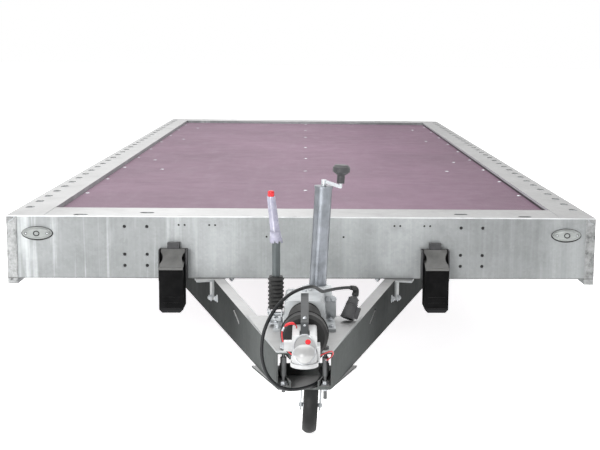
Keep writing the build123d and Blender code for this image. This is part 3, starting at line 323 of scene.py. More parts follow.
def beam_marks(f, zinc, lateral):
    """Marks on the beams: the studio light's fall-off painted across the front faces, a painted highlight
    on the top edge, painted shade on the lower edge, mottled ends, a painted highlight and painted shade on
    the lip beside the deck, and a painted glow on the inner webs.
    """
    x, y, z = (f.along(axis) for axis in "XYZ")
    wide = f.math("ABSOLUTE", x)
    front = f.fade(f.facing("Y"), -0.9, -0.6, 1.0, 0.0)
    ends = f.times(f.inside((wide, *END_STRIP)), front)
    zinc = f.mix(ends, zinc, f.ramp(f.noise(36, 5, 0.65), *END_PATCHES))
    # Painted light: the front faces are toned across the width as the studio light falls off
    zinc = f.mix(front, zinc, f.tinted(zinc, f.ramp(lateral, *FRONT_PAINTED_LIGHT)))
    # Painted highlight: a broken pale line along the front beam's top edge, where its bend catches the
    # light
    edge = f.inside((y, FRONT - 0.01, FRONT + 0.0018), (z, BED_TOP - 0.0042, BED_TOP + 0.01))
    broken = f.ramp(f.noise(9, 4), (0.3, 0.35), (0.55, 0.85))
    zinc = f.mix(f.times(edge, broken), zinc, (0.66, 0.67, 0.68))
    # Painted shade: a dark line along the front beam's lower edge
    lower = f.inside((y, FRONT - 0.01, FRONT + 0.001), (z, FRAME_UNDER - 0.001, FRAME_UNDER + 0.0036))
    zinc = f.mix(f.times(lower, 0.6), zinc, (0.06, 0.06, 0.06))
    # Painted highlight and painted shade on the beam's inner face beside the deck: pale along its fold,
    # dark below it down to the deck
    inward = f.facing("X")
    lip = ((inward, *BACKWARDS), (x, *LIP_SIDE))
    zinc = f.mix(f.inside(*lip, (z, LIP_FOLD, BED_TOP - 0.0002)), zinc, (0.50, 0.52, 0.53))
    zinc = f.mix(f.inside(*lip, (z, DECK_TOP - 0.01, LIP_FOLD)), zinc, (0.035, 0.036, 0.038))
    # Painted light: the side beams' inner webs glow faintly, standing in for the light let in by their
    # slots
    painted_web_glow = f.inside((wide, *WEB_SIDE), (z, 0.43, BED_TOP - 0.0035), (f.times(inward, x), -1.3, -0.5))
    f.shader.inputs["Emission Strength"].default_value = 1.0
    f.tree.links.new(f.mix(painted_web_glow, (0, 0, 0), (0.30, 0.31, 0.31)), f.shader.inputs["Emission Color"])
    return zinc


def galvanised(name, dark, light, upper, metallic=0.35, gloss=0.4, rough=(0.36, 0.58), nose_painted_light=0.0):
    """Hot-dip zinc: soft grey clouds, faint crystals and pale runs down the sheet; painted light towards
    the nose if asked, and blotched upper faces toned as painted light from above.
    """
    f = Finish(name, metallic=metallic, Specular_IOR_Level=gloss)
    clouds = f.ramp(f.noise(2.3, 5, 0.6), (0.32, dark), (0.68, light))
    # Painted light: the zinc turns lighter towards the nose
    if nose_painted_light:
        near = f.fade(f.along("Y"), NOSE + 0.25, NOSE + 0.75, nose_painted_light, 0.0)
        clouds = f.mix(near, clouds, tuple(c * 4.0 for c in light))
    runs = f.ramp(f.noise(1.0, 4, 0.62, stretch=(11, 11, 0.8)), (0.52, 0.0), (0.64, 1.0))
    thin_runs = f.ramp(f.noise(1.0, 3, 0.5, stretch=(70, 70, 1.2)), (0.62, 0.0), (0.72, 0.6))
    lateral = f.fade(f.along("X"), -1.3, 1.3)
    where = f.ramp(lateral, (0.06, 0.75), (0.27, 0.60), (0.36, 0.10), (0.66, 0.06), (0.9, 0.22))
    upright = f.ramp(f.facing("Z"), (0.45, 1.0), (0.8, 0.25))
    sides = f.ramp(f.math("ABSOLUTE", f.facing("X")), (0.5, 1.0), (0.8, 0.3))
    spread = f.times(f.math("MAXIMUM", runs, thin_runs), where, upright, sides)
    faded = f.mix(spread, clouds, tuple(c * 1.75 for c in light))
    brushed = f.ramp(f.noise(1.0, 2, 0.5, stretch=(130, 130, 0.6)), (0.3, 0.93), (0.7, 1.0))
    crystal = f.ramp(f.cells(95), (0.0, 0.90), (1.0, 1.0))
    stains = f.ramp(f.noise(7, 6, 0.7), (0.30, 0.86), (0.5, 1.0))
    spangled = f.tinted(f.tinted(faded, crystal), brushed)
    blotches = f.ramp(f.noise(3.1, 6, 0.6), (0.3, 0.86), (0.62, 1.0))
    # Painted light: upper faces take a tone by side, lighter as lit from above and falling off to the
    # right, with real blotches in it
    upper_light_and_blotches = f.tinted(f.ramp(lateral, *upper), blotches)
    spangled = f.mix(f.ramp(f.facing("Z"), (0.5, 0.0), (0.85, 1.0)), spangled, upper_light_and_blotches)
    f.colour(beam_marks(f, f.tinted(spangled, stains), lateral))
    f.roughness(f.between(f.noise(34, 4), *rough))
    lumps = f.noise(11, 2, stretch=(1, 1, 0.25))
    f.bump(f.math("ADD", f.times(lumps, 3.0), f.noise(160, 3)), 0.3, 0.0006)
    return f.material


def plated(name, base, roughness=0.3, metallic=0.9):
    """Bright zinc plate with fine scratches and dull patches."""
    f = Finish(name, metallic=metallic)
    dull = tuple(c * 0.7 for c in base)
    f.colour(f.ramp(f.noise(22, 5), (0.35, dull), (0.6, base)))
    f.roughness(f.between(f.noise(60, 4), roughness, roughness + 0.25))
    f.bump(f.noise(300, 2, stretch=(1, 1, 0.1)), 0.2, 0.0003)
    return f.material


def cast(name, base, grain=420, relief=0.0007, metallic=0.35, rough=(0.36, 0.55)):
    """Painted or zinc coated casting, with the grain of the mould."""
    f = Finish(name, metallic=metallic)
    dark = tuple(c * 0.72 for c in base)
    f.colour(f.ramp(f.noise(16, 5), (0.3, dark), (0.62, base)))
    f.roughness(f.between(f.noise(50, 3), *rough))
    f.bump(f.noise(grain, 3), 0.35, relief)
    return f.material


# Heights of the lighter band at the chocks' feet, and of the pale step across their front, a painted
# highlight
CHOCK_FOOT_BAND = (0.318, 0.330)
CHOCK_STEP = (0.4815, 0.4905)


def moulded(name, base, rough=(0.42, 0.62), grain=900, relief=0.0003, dust_and_sheen=0.0, gloss=0.22, chock=False):
    """Moulded plastic or rubber: fine grain, rubbed patches, dusty upper faces that on the chocks stand in
    as painted sheen, and on a chock a lighter band at its foot and a painted highlight on its step.
    """
    f = Finish(name, Specular_IOR_Level=gloss)
    pale = tuple(c * 1.4 + 0.004 for c in base)
    tone = f.ramp(f.noise(28, 5, 0.65), (0.4, base), (0.78, pale))
    if chock:
        height = f.along("Z")
        # The chocks turn lighter in a band at their feet
        tone = f.mix(f.fade(height, *CHOCK_FOOT_BAND, 1.0, 0.0), tone, (0.018, 0.018, 0.019))
        # Painted highlight: a pale line across the step on the chocks' front
        step = f.inside((height, *CHOCK_STEP), (f.facing("Y"), *BACKWARDS))
        tone = f.mix(step, tone, (0.125, 0.125, 0.122))
    patchy = f.ramp(f.noise(14, 5, 0.6), (0.3, 0.65), (0.62, 1.0))
    facing_up = f.ramp(f.facing("Z"), (0.15, 0.0), (0.42, 1.0))
    # Dust on upper faces; on the chocks its large amount is mostly a painted sheen of the sky
    f.colour(f.mix(f.times(facing_up, dust_and_sheen, patchy), tone, (0.20, 0.20, 0.195)))
    f.roughness(f.between(f.noise(40, 4), *rough))
    f.bump(f.noise(grain, 2), 0.5, relief)
    return f.material


# Dish in the coupling head's front: half sizes and the height of its middle
DISH_HALF = Vector((0.0315, 0.0350))
DISH_CENTRE_Z = 0.4985


def head_paint(name):
    """Bright coated head: cheeks painted lighter towards the top as lit from above, and painted shade in
    the dish pressed into its front, darker towards the dish's top.
    """
    f = Finish(name, metallic=0.12, Specular_IOR_Level=0.4)
    height = f.along("Z")
    across = f.times(f.along("X"), 1 / DISH_HALF.x)
    upward = f.times(f.math("SUBTRACT", height, DISH_CENTRE_Z), 1 / DISH_HALF.y)
    squares = f.math("ADD", f.times(across, across), f.times(upward, upward))
    within = f.fade(squares, 0.80, 1.0, 1.0, 0.0)
    ahead = f.fade(f.facing("Y"), -0.35, -0.1, 1.0, 0.0)
    # Painted light: the head turns lighter towards its top, as lit from above
    tone = f.mix(f.fade(height, 0.49, 0.53), (0.40, 0.405, 0.41), (0.53, 0.535, 0.54))
    # Painted shade: the dish in the front is darker, more so towards its top under the rim
    dish = f.ramp(f.fade(height, 0.47, 0.53), (0.0, 0.42), (0.5, 0.32), (1.0, 0.27))
    toned = f.mix(f.times(within, ahead), tone, dish)
    f.colour(f.tinted(toned, f.ramp(f.noise(30, 5), (0.3, 0.86), (0.6, 1.0))))
    f.roughness(f.between(f.noise(60, 3), 0.30, 0.44))
    f.bump(f.noise(420, 3), 0.3, 0.0004)
    return f.material


def lens(name, base):
    """Moulded lamp lens with fine upright flutes."""
    f = Finish(name, roughness=0.12, Transmission_Weight=0.15, IOR=1.49)
    shade = tuple(c * 0.8 for c in base)
    f.colour(f.ramp(f.noise(30, 3), (0.3, shade), (0.7, base)))
    f.bump(f.waves(70.0), 0.35, 0.0008)
    return f.material


def lamp_bands(name):
    """Rear lamp lens with amber, red and clear fields side by side and upright flutes."""
    f = Finish(name, roughness=0.14, Transmission_Weight=0.15, IOR=1.49)
    share = f.fade(f.math("ABSOLUTE", f.along("X")), 0.78, 1.02)
    red, amber, clear = (0.42, 0.008, 0.010), (0.80, 0.20, 0.01), (0.62, 0.62, 0.60)
    fields = f.ramp(share, (0.0, red), (0.28, clear), (0.46, red), (0.72, amber))
    fields.node.color_ramp.interpolation = "CONSTANT"
    f.colour(f.tinted(fields, f.ramp(f.noise(60, 3), (0.3, 0.86), (0.6, 1.0))))
    f.bump(f.waves(60.0), 0.4, 0.001)
    return f.material


# Painted light on the deck: its tint from its left edge to its right one, as the studio light falls
DECK_LIT = (
    (0.0, (0.88, 0.96, 0.95)), (0.45, (0.92, 0.99, 0.99)), (0.62, (0.84, 0.86, 0.89)),
    (0.76, (0.70, 0.665, 0.735)), (0.95, (0.60, 0.55, 0.62)),
)


def phenolic_deck(name):
    """Plywood with a pressed mesh film, dusty and scuffed along the load's way, tinted across its width as
    painted light.
    """
    f = Finish(name, Specular_IOR_Level=0.14)
    tone = f.ramp(f.noise(1.3, 6, 0.62), (0.3, (0.158, 0.089, 0.125)), (0.7, (0.212, 0.123, 0.169)))
    scuff = f.ramp(f.noise(3.2, 8, 0.7, stretch=(5, 0.5, 1)), (0.52, 0.0), (0.8, 1.0))
    dusty = f.mix(f.times(scuff, 0.25), tone, (0.28, 0.22, 0.25))
    speck = f.ramp(f.noise(240, 2), (0.35, 0.85), (0.6, 1.0))
    # Painted light: the deck's tint changes from left to right as the studio light falls
    lit = f.ramp(f.fade(f.along("X"), -1.1, 1.1), *DECK_LIT)
    f.colour(f.tinted(f.tinted(dusty, speck), lit))
    f.roughness(f.between(f.noise(9, 5), 0.42, 0.6))
    f.bump(f.math("MAXIMUM", f.waves(62.0), f.waves(62.0, "Y")), 0.5, 0.0006)
    return f.material


# Painted light on the zinc's upper faces: their tone from the left to the right, lighter as lit from above
# and falling off to the right
UPPER_PAINTED_LIGHT = ((0.05, 0.41), (0.3, 0.48), (0.55, 0.34), (0.7, 0.275), (0.95, 0.26))
UPPER_PAINTED_LIGHT_DULL = ((0.0, 0.45), (0.46, 0.43), (0.56, 0.32), (1.0, 0.30))

FINISHES = {
    "galvanised": galvanised("galvanised", (0.284, 0.299, 0.299), (0.404, 0.42, 0.425), UPPER_PAINTED_LIGHT),
    # Painted shade: the drawbar's dull zinc has its colour darkened to the shade on its webs, with painted
    # light towards the nose and on its upper faces
    "galvanised_dull_shaded": galvanised(
        "galvanised_dull_shaded", (0.027, 0.029, 0.0285), (0.043, 0.046, 0.0452), UPPER_PAINTED_LIGHT_DULL,
        metallic=0.0, gloss=0.03, rough=(0.7, 0.9), nose_painted_light=0.42,
    ),
    "tube_zinc": plated("tube_zinc", (0.225, 0.24, 0.262), 0.24),
    "bright_zinc": plated("bright_zinc", (0.50, 0.52, 0.54), metallic=0.65),
    "shaft_zinc": plated("shaft_zinc", (0.10, 0.103, 0.105), 0.35, metallic=0.7),
    "head_paint": head_paint("head_paint"),
    # Painted light: a lighter zinc for the jack clamp, lifting it out of the shadow the coupling casts on
    # it
    "clamp_zinc": cast("clamp_zinc", (0.50, 0.52, 0.53), metallic=0.1),
    "grey_paint": cast("grey_paint", (0.085, 0.098, 0.10), grain=700, relief=0.0002),
    "dark_paint": cast("dark_paint", (0.017, 0.020, 0.022), 700, 0.0002, metallic=0.0, rough=(0.5, 0.65)),
    "grey_casting": cast("grey_casting", (0.46, 0.48, 0.49)),
    "silver_paint": cast("silver_paint", (0.45, 0.46, 0.475), metallic=0.5, rough=(0.26, 0.4)),
    "black_rubber": moulded("black_rubber", (0.012, 0.012, 0.012), dust_and_sheen=0.12),
    "black_plastic": moulded("black_plastic", (0.042, 0.042, 0.044), rough=(0.35, 0.5), dust_and_sheen=0.15),
    # Painted reflection: the chocks' large dust amount stands in for the sky's sheen on their upper faces
    "chock_plastic": moulded(
        "chock_plastic", (0.0025, 0.0025, 0.0027), rough=(0.5, 0.65), dust_and_sheen=0.62, gloss=0.05, chock=True
    ),
    "pale_film": moulded(
        "pale_film", (0.27, 0.265, 0.33), rough=(0.18, 0.35), grain=120, relief=0.002, gloss=0.5
    ),
    "red_plastic": moulded("red_plastic", (0.50, 0.012, 0.018), rough=(0.2, 0.32), gloss=0.4),
    "phenolic_ply": phenolic_deck("phenolic_ply"),
    "clear_lens": lens("clear_lens", (0.33, 0.35, 0.34)),
    "red_lens": lamp_bands("red_lens"),
    "cable_jacket": moulded("cable_jacket", (0.010, 0.011, 0.012), rough=(0.32, 0.46), gloss=0.25),
    "red_jacket": moulded("red_jacket", (0.42, 0.015, 0.02), rough=(0.25, 0.4), gloss=0.4),
    "tyre": moulded("tyre", (0.011, 0.011, 0.011), rough=(0.62, 0.85), grain=500, relief=0.0006, dust_and_sheen=0.1),
    "wheel_steel": cast("wheel_steel", (0.48, 0.50, 0.52), grain=500, relief=0.0003, metallic=0.6),
}

# Nodes whose finish differs from their slot's own, such as dusty plastic, dulled drawbar zinc darkened as
# painted shade, and a lighter zinc on the jack clamp as painted light
WEATHERED_AND_PAINTED_LIGHT = {
    "drawbar_left": "galvanised_dull_shaded",
    "drawbar_right": "galvanised_dull_shaded",
    "bottom_plate": "galvanised_dull_shaded",
    "jack_tube": "tube_zinc",
    "nose_bolts": "shaft_zinc",
    "coupling_head": "head_paint",
    "jack_clamp": "clamp_zinc",
    "coupling_handle": "dark_paint",
    "wheel_chocks": "chock_plastic",
}


def dress_nodes():
    """Each node's material slot gets its finish, which is procedural on the real faces."""
    for part in frame["record"]["subparts"]:
        node = nodes[part["node"]]
        finish = FINISHES[WEATHERED_AND_PAINTED_LIGHT.get(part["node"], part["material_slot"])]
        for slot in node.material_slots:
            slot.material = finish


def turns(count, first=0.0):
    """Even angles once round, from a first one."""
    return [first + 2 * math.pi * i / count for i in range(count)]


def circle(centre, radius, across, other, count, first=0.0):
    """Points round a centre, in the plane of two directions."""
    return [centre + radius * (math.cos(a) * across + math.sin(a) * other) for a in turns(count, first)]


THREAD_PITCH = 0.0016


class Shape:
    """A mesh under construction, in the trailer's own metres."""

    def __init__(self):
        self.mesh = bmesh.new()

    def loops(self, rings, ends="flat"):
        """Skin between rings of as many points each, its ends flat, open or joined."""
        rows = [[self.mesh.verts.new(point) for point in ring] for ring in rings]
        following = rows[1:] + rows[:1] if ends == "joined" else rows[1:]
        for near, far in zip(rows, following):
            for i in range(len(near)):
                j = (i + 1) % len(near)
                self.mesh.faces.new((near[i], near[j], far[j], far[i]))
        if ends == "flat":
            self.mesh.faces.new(list(reversed(rows[0])))
            self.mesh.faces.new(rows[-1])

    def turned(self, place, direction, profile, sides=24, first=0.0):
        """Round or many-sided body about an axis: profile of (distance along, radius)."""
        axis = Vector(direction).normalized()
        across = axis.orthogonal().normalized()
        other = axis.cross(across)
        place = Vector(place)
        self.loops([circle(place + axis * step, r, across, other, sides, first) for step, r in profile])

    def bolt(self, place, direction, radius, head, tail=0.0):
        """Hexagon head on its washer, its top edge turned off, and the thread's end if any."""
        self.turned(place, direction, [(0, radius * 1.35), (0.0016, radius * 1.35), (0.002, radius * 1.25)])
        rings = [(0.0018, radius), (head - 0.001, radius), (head, radius * 0.84), (head, radius * 0.5)]
        self.turned(place, direction, rings, sides=6)
        if tail:
            rings = [(head - 0.001, radius * 0.52)]
            for i in range(int(tail / THREAD_PITCH)):
                crest = head + THREAD_PITCH * i
                rings += [(crest, radius * 0.52), (crest + THREAD_PITCH / 2, radius * 0.46)]
            rings.append((head + tail, radius * 0.4))
            self.turned(place, direction, rings, sides=16)

    def tube(self, points, radii, sides=12):
        """Round body along points, with one radius or one for each point."""
        radii = radii if isinstance(radii, (list, tuple)) else [radii] * len(points)
        rings = []
        spoke = (points[1] - points[0]).orthogonal()
        for i, (point, radius) in enumerate(zip(points, radii)):
            run = (points[min(i + 1, len(points) - 1)] - points[max(i - 1, 0)]).normalized()
            spoke = (spoke - run * spoke.dot(run)).normalized()
            rings.append(circle(point, radius, spoke, run.cross(spoke), sides))
        self.loops(rings)

    def weld(self, start, end, radius, pitch=0.006):
        """Uneven weld bead between two points."""
        start, end = Vector(start), Vector(end)
        count = max(4, int((end - start).length / pitch))
        points, radii = [], []
        for i in range(count + 1):
            wander = Vector([dice.uniform(-0.12, 0.12) * radius for _ in range(3)])
            points.append(start.lerp(end, i / count) + wander)
            radii.append(radius * dice.uniform(0.72, 1.1))
        self.tube(points, radii, sides=10)

    def ring(self, points, radius, sides=10):
        """Round body along a closed loop of points."""
        centre = sum(points, Vector()) / len(points)
        rows = []
        for i, point in enumerate(points):
            run = (points[(i + 1) % len(points)] - points[i - 1]).normalized()
            spoke = (Vector(point) - centre).normalized()
            rows.append(circle(point, radius, spoke, run.cross(spoke).normalized(), sides))
        self.loops(rows, "joined")

    def plate(self, outline, depth):
        """Flat piece of an outline of points, carried along a depth vector."""
        depth = Vector(depth)
        self.loops([outline, [point + depth for point in outline]])

    def done(self, name, finish, body="chassis", crease=35):
        """The finished piece, with soft faces up to a crease angle."""
        bmesh.ops.recalc_face_normals(self.mesh, faces=self.mesh.faces)
        mesh = bpy.data.meshes.new(name)
        self.mesh.to_mesh(mesh)
        self.mesh.free()
        mesh.shade_smooth()
        mesh.set_sharp_from_angle(angle=math.radians(crease))
        mesh.materials.append(FINISHES[finish])
        piece = add_object(name, mesh)
        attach(piece, body)
        return piece


def bar_edge(reach):
    """Half width over the outer faces of the drawbar at a reach ahead of the front beam."""
    return NOSE_HALF_WIDTH + (NOSE_REACH - reach) * math.tan(BAR_ANGLE)


def cord_points(cord):
    """Points along a cord's own centre line, read from its curve without its thickness."""
    bare = cord.data.copy()
    bare.bevel_depth = 0
    holder = bpy.data.objects.new("centre_line", bare)
    mesh = bpy.data.meshes.new_from_object(holder)
    points = [vertex.co.copy() for vertex in mesh.vertices]
    bpy.data.objects.remove(holder)
    bpy.data.meshes.remove(mesh)
    bpy.data.curves.remove(bare)
    return points


def length_of(points):
    """Length of a line of points."""
    return sum((far - near).length for near, far in zip(points, points[1:]))


def stretch_of(points, start, end):
    """The points of a line between two distances along it."""
    kept = []
    gone = 0.0
    for near, far in zip(points, points[1:]):
        if start <= gone <= end:
            kept.append(near)
        gone += (far - near).length
    return kept


# Deck screws: distances behind the front, on the middle line and as pairs with their side
MIDDLE_SCREWS = (1.017, 1.891, 2.617, 3.393, 4.263, 4.983, 5.700)
PAIRED_SCREWS = ((1.930, 0.81), (2.450, 0.915), (3.990, 0.90), (5.120, 0.90))
EDGE_SCREW_SIDE = 1.035
EDGE_SCREW_FIRST = 0.288
EDGE_SCREW_PITCH = 0.577
EDGE_SCREW_COUNT = 10
SCREW_RADIUS = 0.0105
SCREW_DOME = ((0, 1.0), (0.0010, 0.98), (0.0020, 0.80), (0.0026, 0.45))
SCREW_RECESS = ((0.0026, 0.40), (0.0028, 0.34), (0.0029, 0.2))


def make_deck_screws():
    """Low round screw heads with a six-sided recess, in the pattern of the photograph."""
    shape = Shape()
    places = [(0.0, back) for back in MIDDLE_SCREWS]
    places += [(side * x, back) for back, x in PAIRED_SCREWS for side in (-1, 1)]
    for i in range(EDGE_SCREW_COUNT):
        places += [(side * EDGE_SCREW_SIDE, EDGE_SCREW_FIRST + EDGE_SCREW_PITCH * i) for side in (-1, 1)]
    for x, back in places:
        for profile, sides in ((SCREW_DOME, 20), (SCREW_RECESS, 6)):
            rings = [(height, share * SCREW_RADIUS) for height, share in profile]
            shape.turned((x, FRONT + back, DECK_TOP), (0, 0, 1), rings, sides=sides)
    shape.done("deck_screws", "bright_zinc")


UP, DOWN, AHEAD = (0, 0, 1), (0, 0, -1), (0, -1, 0)
HOUSING_FOOT_TOP = 0.440
# Bolts on the chassis: x, distance behind the nose, height, direction, radius, head, thread end
LONE_BOLTS = (
    (0.0785, 0.4099, 0.504, AHEAD, 0.0085, 0.008, 0.0),
    (0.099, 0.4099, 0.504, AHEAD, 0.0085, 0.008, 0.0),
    (0.09, 0.4099, 0.449, AHEAD, 0.0085, 0.008, 0.004),
    (0.09, 0.355, HOUSING_FOOT_TOP, UP, 0.0095, 0.008, 0.004),
    (0.0, 0.255, 0.542, UP, 0.0065, 0.006, 0.0),
    (0.0, 0.365, 0.542, UP, 0.0065, 0.006, 0.0),
    (-0.098, 0.317, 0.446, UP, 0.0055, 0.005, 0.0),
    (-0.098, 0.383, 0.446, UP, 0.0055, 0.005, 0.0),
    (-0.123, 0.35, 0.476, (-1, 0, 0), 0.0095, 0.005, 0.0),
    (0.066, 0.024, 0.3035, DOWN, 0.0095, 0.009, 0.02),
)
PAIRED_BOLTS = (
    (0.09, 0.264, HOUSING_FOOT_TOP, UP, 0.0095, 0.008, 0.004),
    (0.066, 0.024, 0.3155, UP, 0.011, 0.011, 0.0),
    (0.3, 1.185, FRAME_UNDER, DOWN, 0.011, 0.011, 0.006),
    (0.33, 1.190, FRAME_UNDER, DOWN, 0.007, 0.007, 0.0),
)
# Nuts at the end of the lock barrel: x, radius; bolts on the drawbar's webs: reach, height, distance out
LOCK_NUTS = ((-0.0612, 0.0115), (-0.0664, 0.0095))
LOCK_BACK = 0.038
LOCK_HEIGHT = 0.500
WEB_BOLTS = ((0.0, 0.345, 0.008), (0.100, 0.362, 0.0))
RAIL_SIDE = 0.700
AXLE_TUBE_AHEAD = 0.150
SEAT_BOLT_STEP = 0.048
SEAT_BOLT_HEIGHT = 0.408


def axle_y(index):
    """Place of an axle's wheels along the trailer."""
    return FRONT + FIRST_AXLE + AXLE_PITCH * index


def make_bolts():
    """Bolts and nuts of the nose, the drawbar brackets and the axle seats."""
    shape = Shape()
    mirrored = tuple((-x, *rest) for x, *rest in PAIRED_BOLTS)
    for x, back, z, direction, radius, head, tail in LONE_BOLTS + PAIRED_BOLTS + mirrored:
        shape.bolt((x, NOSE + back, z), direction, radius, head, tail=tail)
    for side in (-1, 1):
        outward = Vector((side * math.cos(BAR_ANGLE), -math.sin(BAR_ANGLE), 0))
        for reach, height, out in WEB_BOLTS:
            place = Vector((side * bar_edge(reach), FRONT - reach, height)) + outward * out
            shape.bolt(place, outward, 0.0115, 0.010, tail=0.004)
    for x, radius in LOCK_NUTS:
        rings = [(0, radius * 0.9), (0.0008, radius), (0.0040, radius), (0.0048, radius * 0.88)]
        shape.turned((x, BALL_Y + LOCK_BACK, LOCK_HEIGHT), (-1, 0, 0), rings, sides=6)
    for i in range(len(AXLES)):
        for side in (-1, 1):
            for step in (-SEAT_BOLT_STEP, SEAT_BOLT_STEP):
                place = (side * RAIL_SIDE, axle_y(i) - AXLE_TUBE_AHEAD + step, SEAT_BOLT_HEIGHT)
                shape.bolt(place, (side, 0, 0), 0.010, 0.008, tail=0.004)
    shape.done("bolts", "bright_zinc")


# Holes of the front beam: side, drops below the bed's top, radius
BEAM_HOLES = (
    (0.640, (0.043, 0.157, 0.203), 0.007),
    (0.730, (0.043, 0.157, 0.203), 0.007),
    (0.365, (0.036,), 0.00425), (0.389, (0.036,), 0.00425), (0.488, (0.036,), 0.00425),
    (0.512, (0.036,), 0.00425), (0.157, (0.083,), 0.00425),
)


def make_hole_plugs():
    """Dark discs just inside the front beam's holes."""
    shape = Shape()
    web = FRONT + SHEET + 0.0011
    for x, drops, radius in BEAM_HOLES:
        rings = [(0, radius * 1.5), (0.0008, radius * 1.5), (0.0012, radius * 0.9), (0.0030, radius * 0.9)]
        for drop in drops:
            for side in (-1, 1):
                shape.turned((side * x, web, BED_TOP - drop), (0, -1, 0), rings, sides=20)
    shape.done("hole_plugs", "black_rubber")


# Beads at the beams' corners: their side, heights, and the heights and number of the lumps beside them
CORNER_WELD_SIDE = 1.161
CORNER_WELD_HEIGHTS = (0.427, 0.676)
CORNER_LUMPS = ((0.655, 0.670, 4), (0.410, 0.432, 4))
# Bead across each corner of the flange, and the bright bend below it: x, height
FLANGE_WELD_SIDE = 1.053
FLANGE_WELD_END = 0.232
CORNER_BEND = ((1.166, 0.6765), (1.172, 0.6665), (1.180, 0.6600), (1.190, 0.6560))
# Bead under the top plate's edge: distances behind the nose, drop below the plate's top
PLATE_WELD = (0.020, 0.470)
PLATE_WELD_DROP = 0.0045


def make_welds():
    """Weld beads at the beams' corners and along the drawbar's plate."""
    shape = Shape()
    low_end, high_end = CORNER_WELD_HEIGHTS
    for side in (-1, 1):
        x = side * CORNER_WELD_SIDE
        for y, outward in ((FRONT, -1), (REAR, 1)):
            shape.weld((x, y, low_end), (x, y, high_end), 0.0040)
            for low, high, count in CORNER_LUMPS:
                for _ in range(count):
                    spot = Vector((side * dice.uniform(1.162, 1.186), y, dice.uniform(low, high)))
                    size = dice.uniform(0.0050, 0.0090)
                    profile = [(0, size), (0.0006, size * 0.9), (0.0012, size * 0.5)]
                    shape.turned(spot, (0, outward, 0), profile, sides=9, first=dice.uniform(0, 1))
        x, z = side * FLANGE_WELD_SIDE, BED_TOP + 0.0005
        shape.weld((x, FRONT + SHEET, z), (x, FRONT + FLANGE_WELD_END, z), 0.0016)
        near, far = (NOSE_REACH - back for back in PLATE_WELD)
        z = PLATE_TOP - PLATE_WELD_DROP
        start = (side * (bar_edge(near) - 0.007), FRONT - near, z)
        end = (side * (bar_edge(far) - 0.0045), FRONT - far, z)
        shape.weld(start, end, 0.0028)
    shape.done("welds", "galvanised", crease=60)
    corners = Shape()
    y = FRONT - 0.0005
    for side in (-1, 1):
        for (x, z), (next_x, next_z) in zip(CORNER_BEND, CORNER_BEND[1:]):
            corners.weld((side * x, y, z), (side * next_x, y, next_z), 0.0022, 0.003)
    corners.done("corner_welds", "bright_zinc", crease=60)


def ellipse(x, y, z, wide, high, count=64):
    """Upright ellipse of points about a centre."""
    return [Vector((x + wide * math.cos(a), y, z + high * math.sin(a))) for a in turns(count)]


LAMP_SIDE = 1.077
LAMP_HEIGHT = 0.610
LAMP_SCREW_STEP = 0.042


def make_lamp_trim():
    """Gasket, centre ring and screws of the oval front lamps."""
    gasket, screws = Shape(), Shape()
    z = LAMP_HEIGHT
    for side in (-1, 1):
        x = side * LAMP_SIDE
        gasket.ring(ellipse(x, FRONT - 0.0032, z - 0.0022, 0.0594, 0.0256), 0.0034)
        gasket.ring(ellipse(x, FRONT - 0.0205, z, 0.0110, 0.0092, 40), 0.0020)
        for step in (-LAMP_SCREW_STEP, LAMP_SCREW_STEP):
            gasket.ring(ellipse(x + step, FRONT - 0.0195, z, 0.0048, 0.0048, 24), 0.0009)
            head = [(0, 0.0036), (0.0012, 0.0034), (0.0020, 0.0020)]
            screws.turned((x + step, FRONT - 0.0185, z), (0, -1, 0), head, sides=16)
    gasket.done("lamp_gaskets", "black_rubber")
    screws.done("lamp_screws", "bright_zinc")


CHOCK_SIDE = 0.532
CHOCK_HALF_WIDTH = 0.034
CHOCK_REACH = 0.1206
CHOCK_RIB_HEIGHTS = (0.322, 0.345, 0.368)
CHOCK_RIB = 0.004


def make_chock_trim():
    """Ribs across the foot of each wheel chock."""
    shape = Shape()
    y = FRONT - CHOCK_REACH
    for side in (-1, 1):
        left = side * CHOCK_SIDE - CHOCK_HALF_WIDTH
        right = left + 2 * CHOCK_HALF_WIDTH
        for low in CHOCK_RIB_HEIGHTS:
            high = low + CHOCK_RIB
            corners = ((left, y, low), (right, y, low), (right, y, high), (left, y, high))
            shape.plate([Vector(corner) for corner in corners], (0, 0.003, 0))
    shape.done("chock_foot_ribs", "chock_plastic")


# Handbrake lever: side, distance behind the nose, height of its grip's lower end
LEVER_SIDE = -0.098
LEVER_BACK = 0.350
GRIP_BASE = 0.726
FILM_LEVELS = ((-0.010, 0.0215), (0.0, 0.0192), (0.012, 0.0182), (0.026, 0.0176))
FILM_LEAN = -0.13


def make_grip_film():
    """Torn clear film on the handbrake grip, with a ragged hem over the lever."""
    shape = Shape()
    y = NOSE + LEVER_BACK
    rows = []
    for level, (height, radius) in enumerate(FILM_LEVELS):
        x = LEVER_SIDE + max(0.0, height) * FILM_LEAN
        row = []
        for angle in turns(40):
            ragged = dice.uniform(-0.006, 0.009) if level == 0 else 0.0
            swell = radius + dice.uniform(-0.0008, 0.0012) * (3 - level)
            z = GRIP_BASE + height + ragged
            row.append((x + swell * math.cos(angle), y + swell * math.sin(angle), z))
        rows.append(row)
    shape.loops(rows, "open")
    film = shape.done("grip_film", "pale_film", crease=60)
    wall = film.modifiers.new("wall", "SOLIDIFY")
    wall.thickness = 0.0006


# Rings round the plug: distance from its mouth, radius
PLUG_RINGS = ((0.002, 0.0256), (0.046, 0.0218), (0.052, 0.0212), (0.070, 0.0192))
PLUG_RING_DEPTH = 0.002
PIN_CIRCLES = ((1, 0.0), (6, 0.0115))


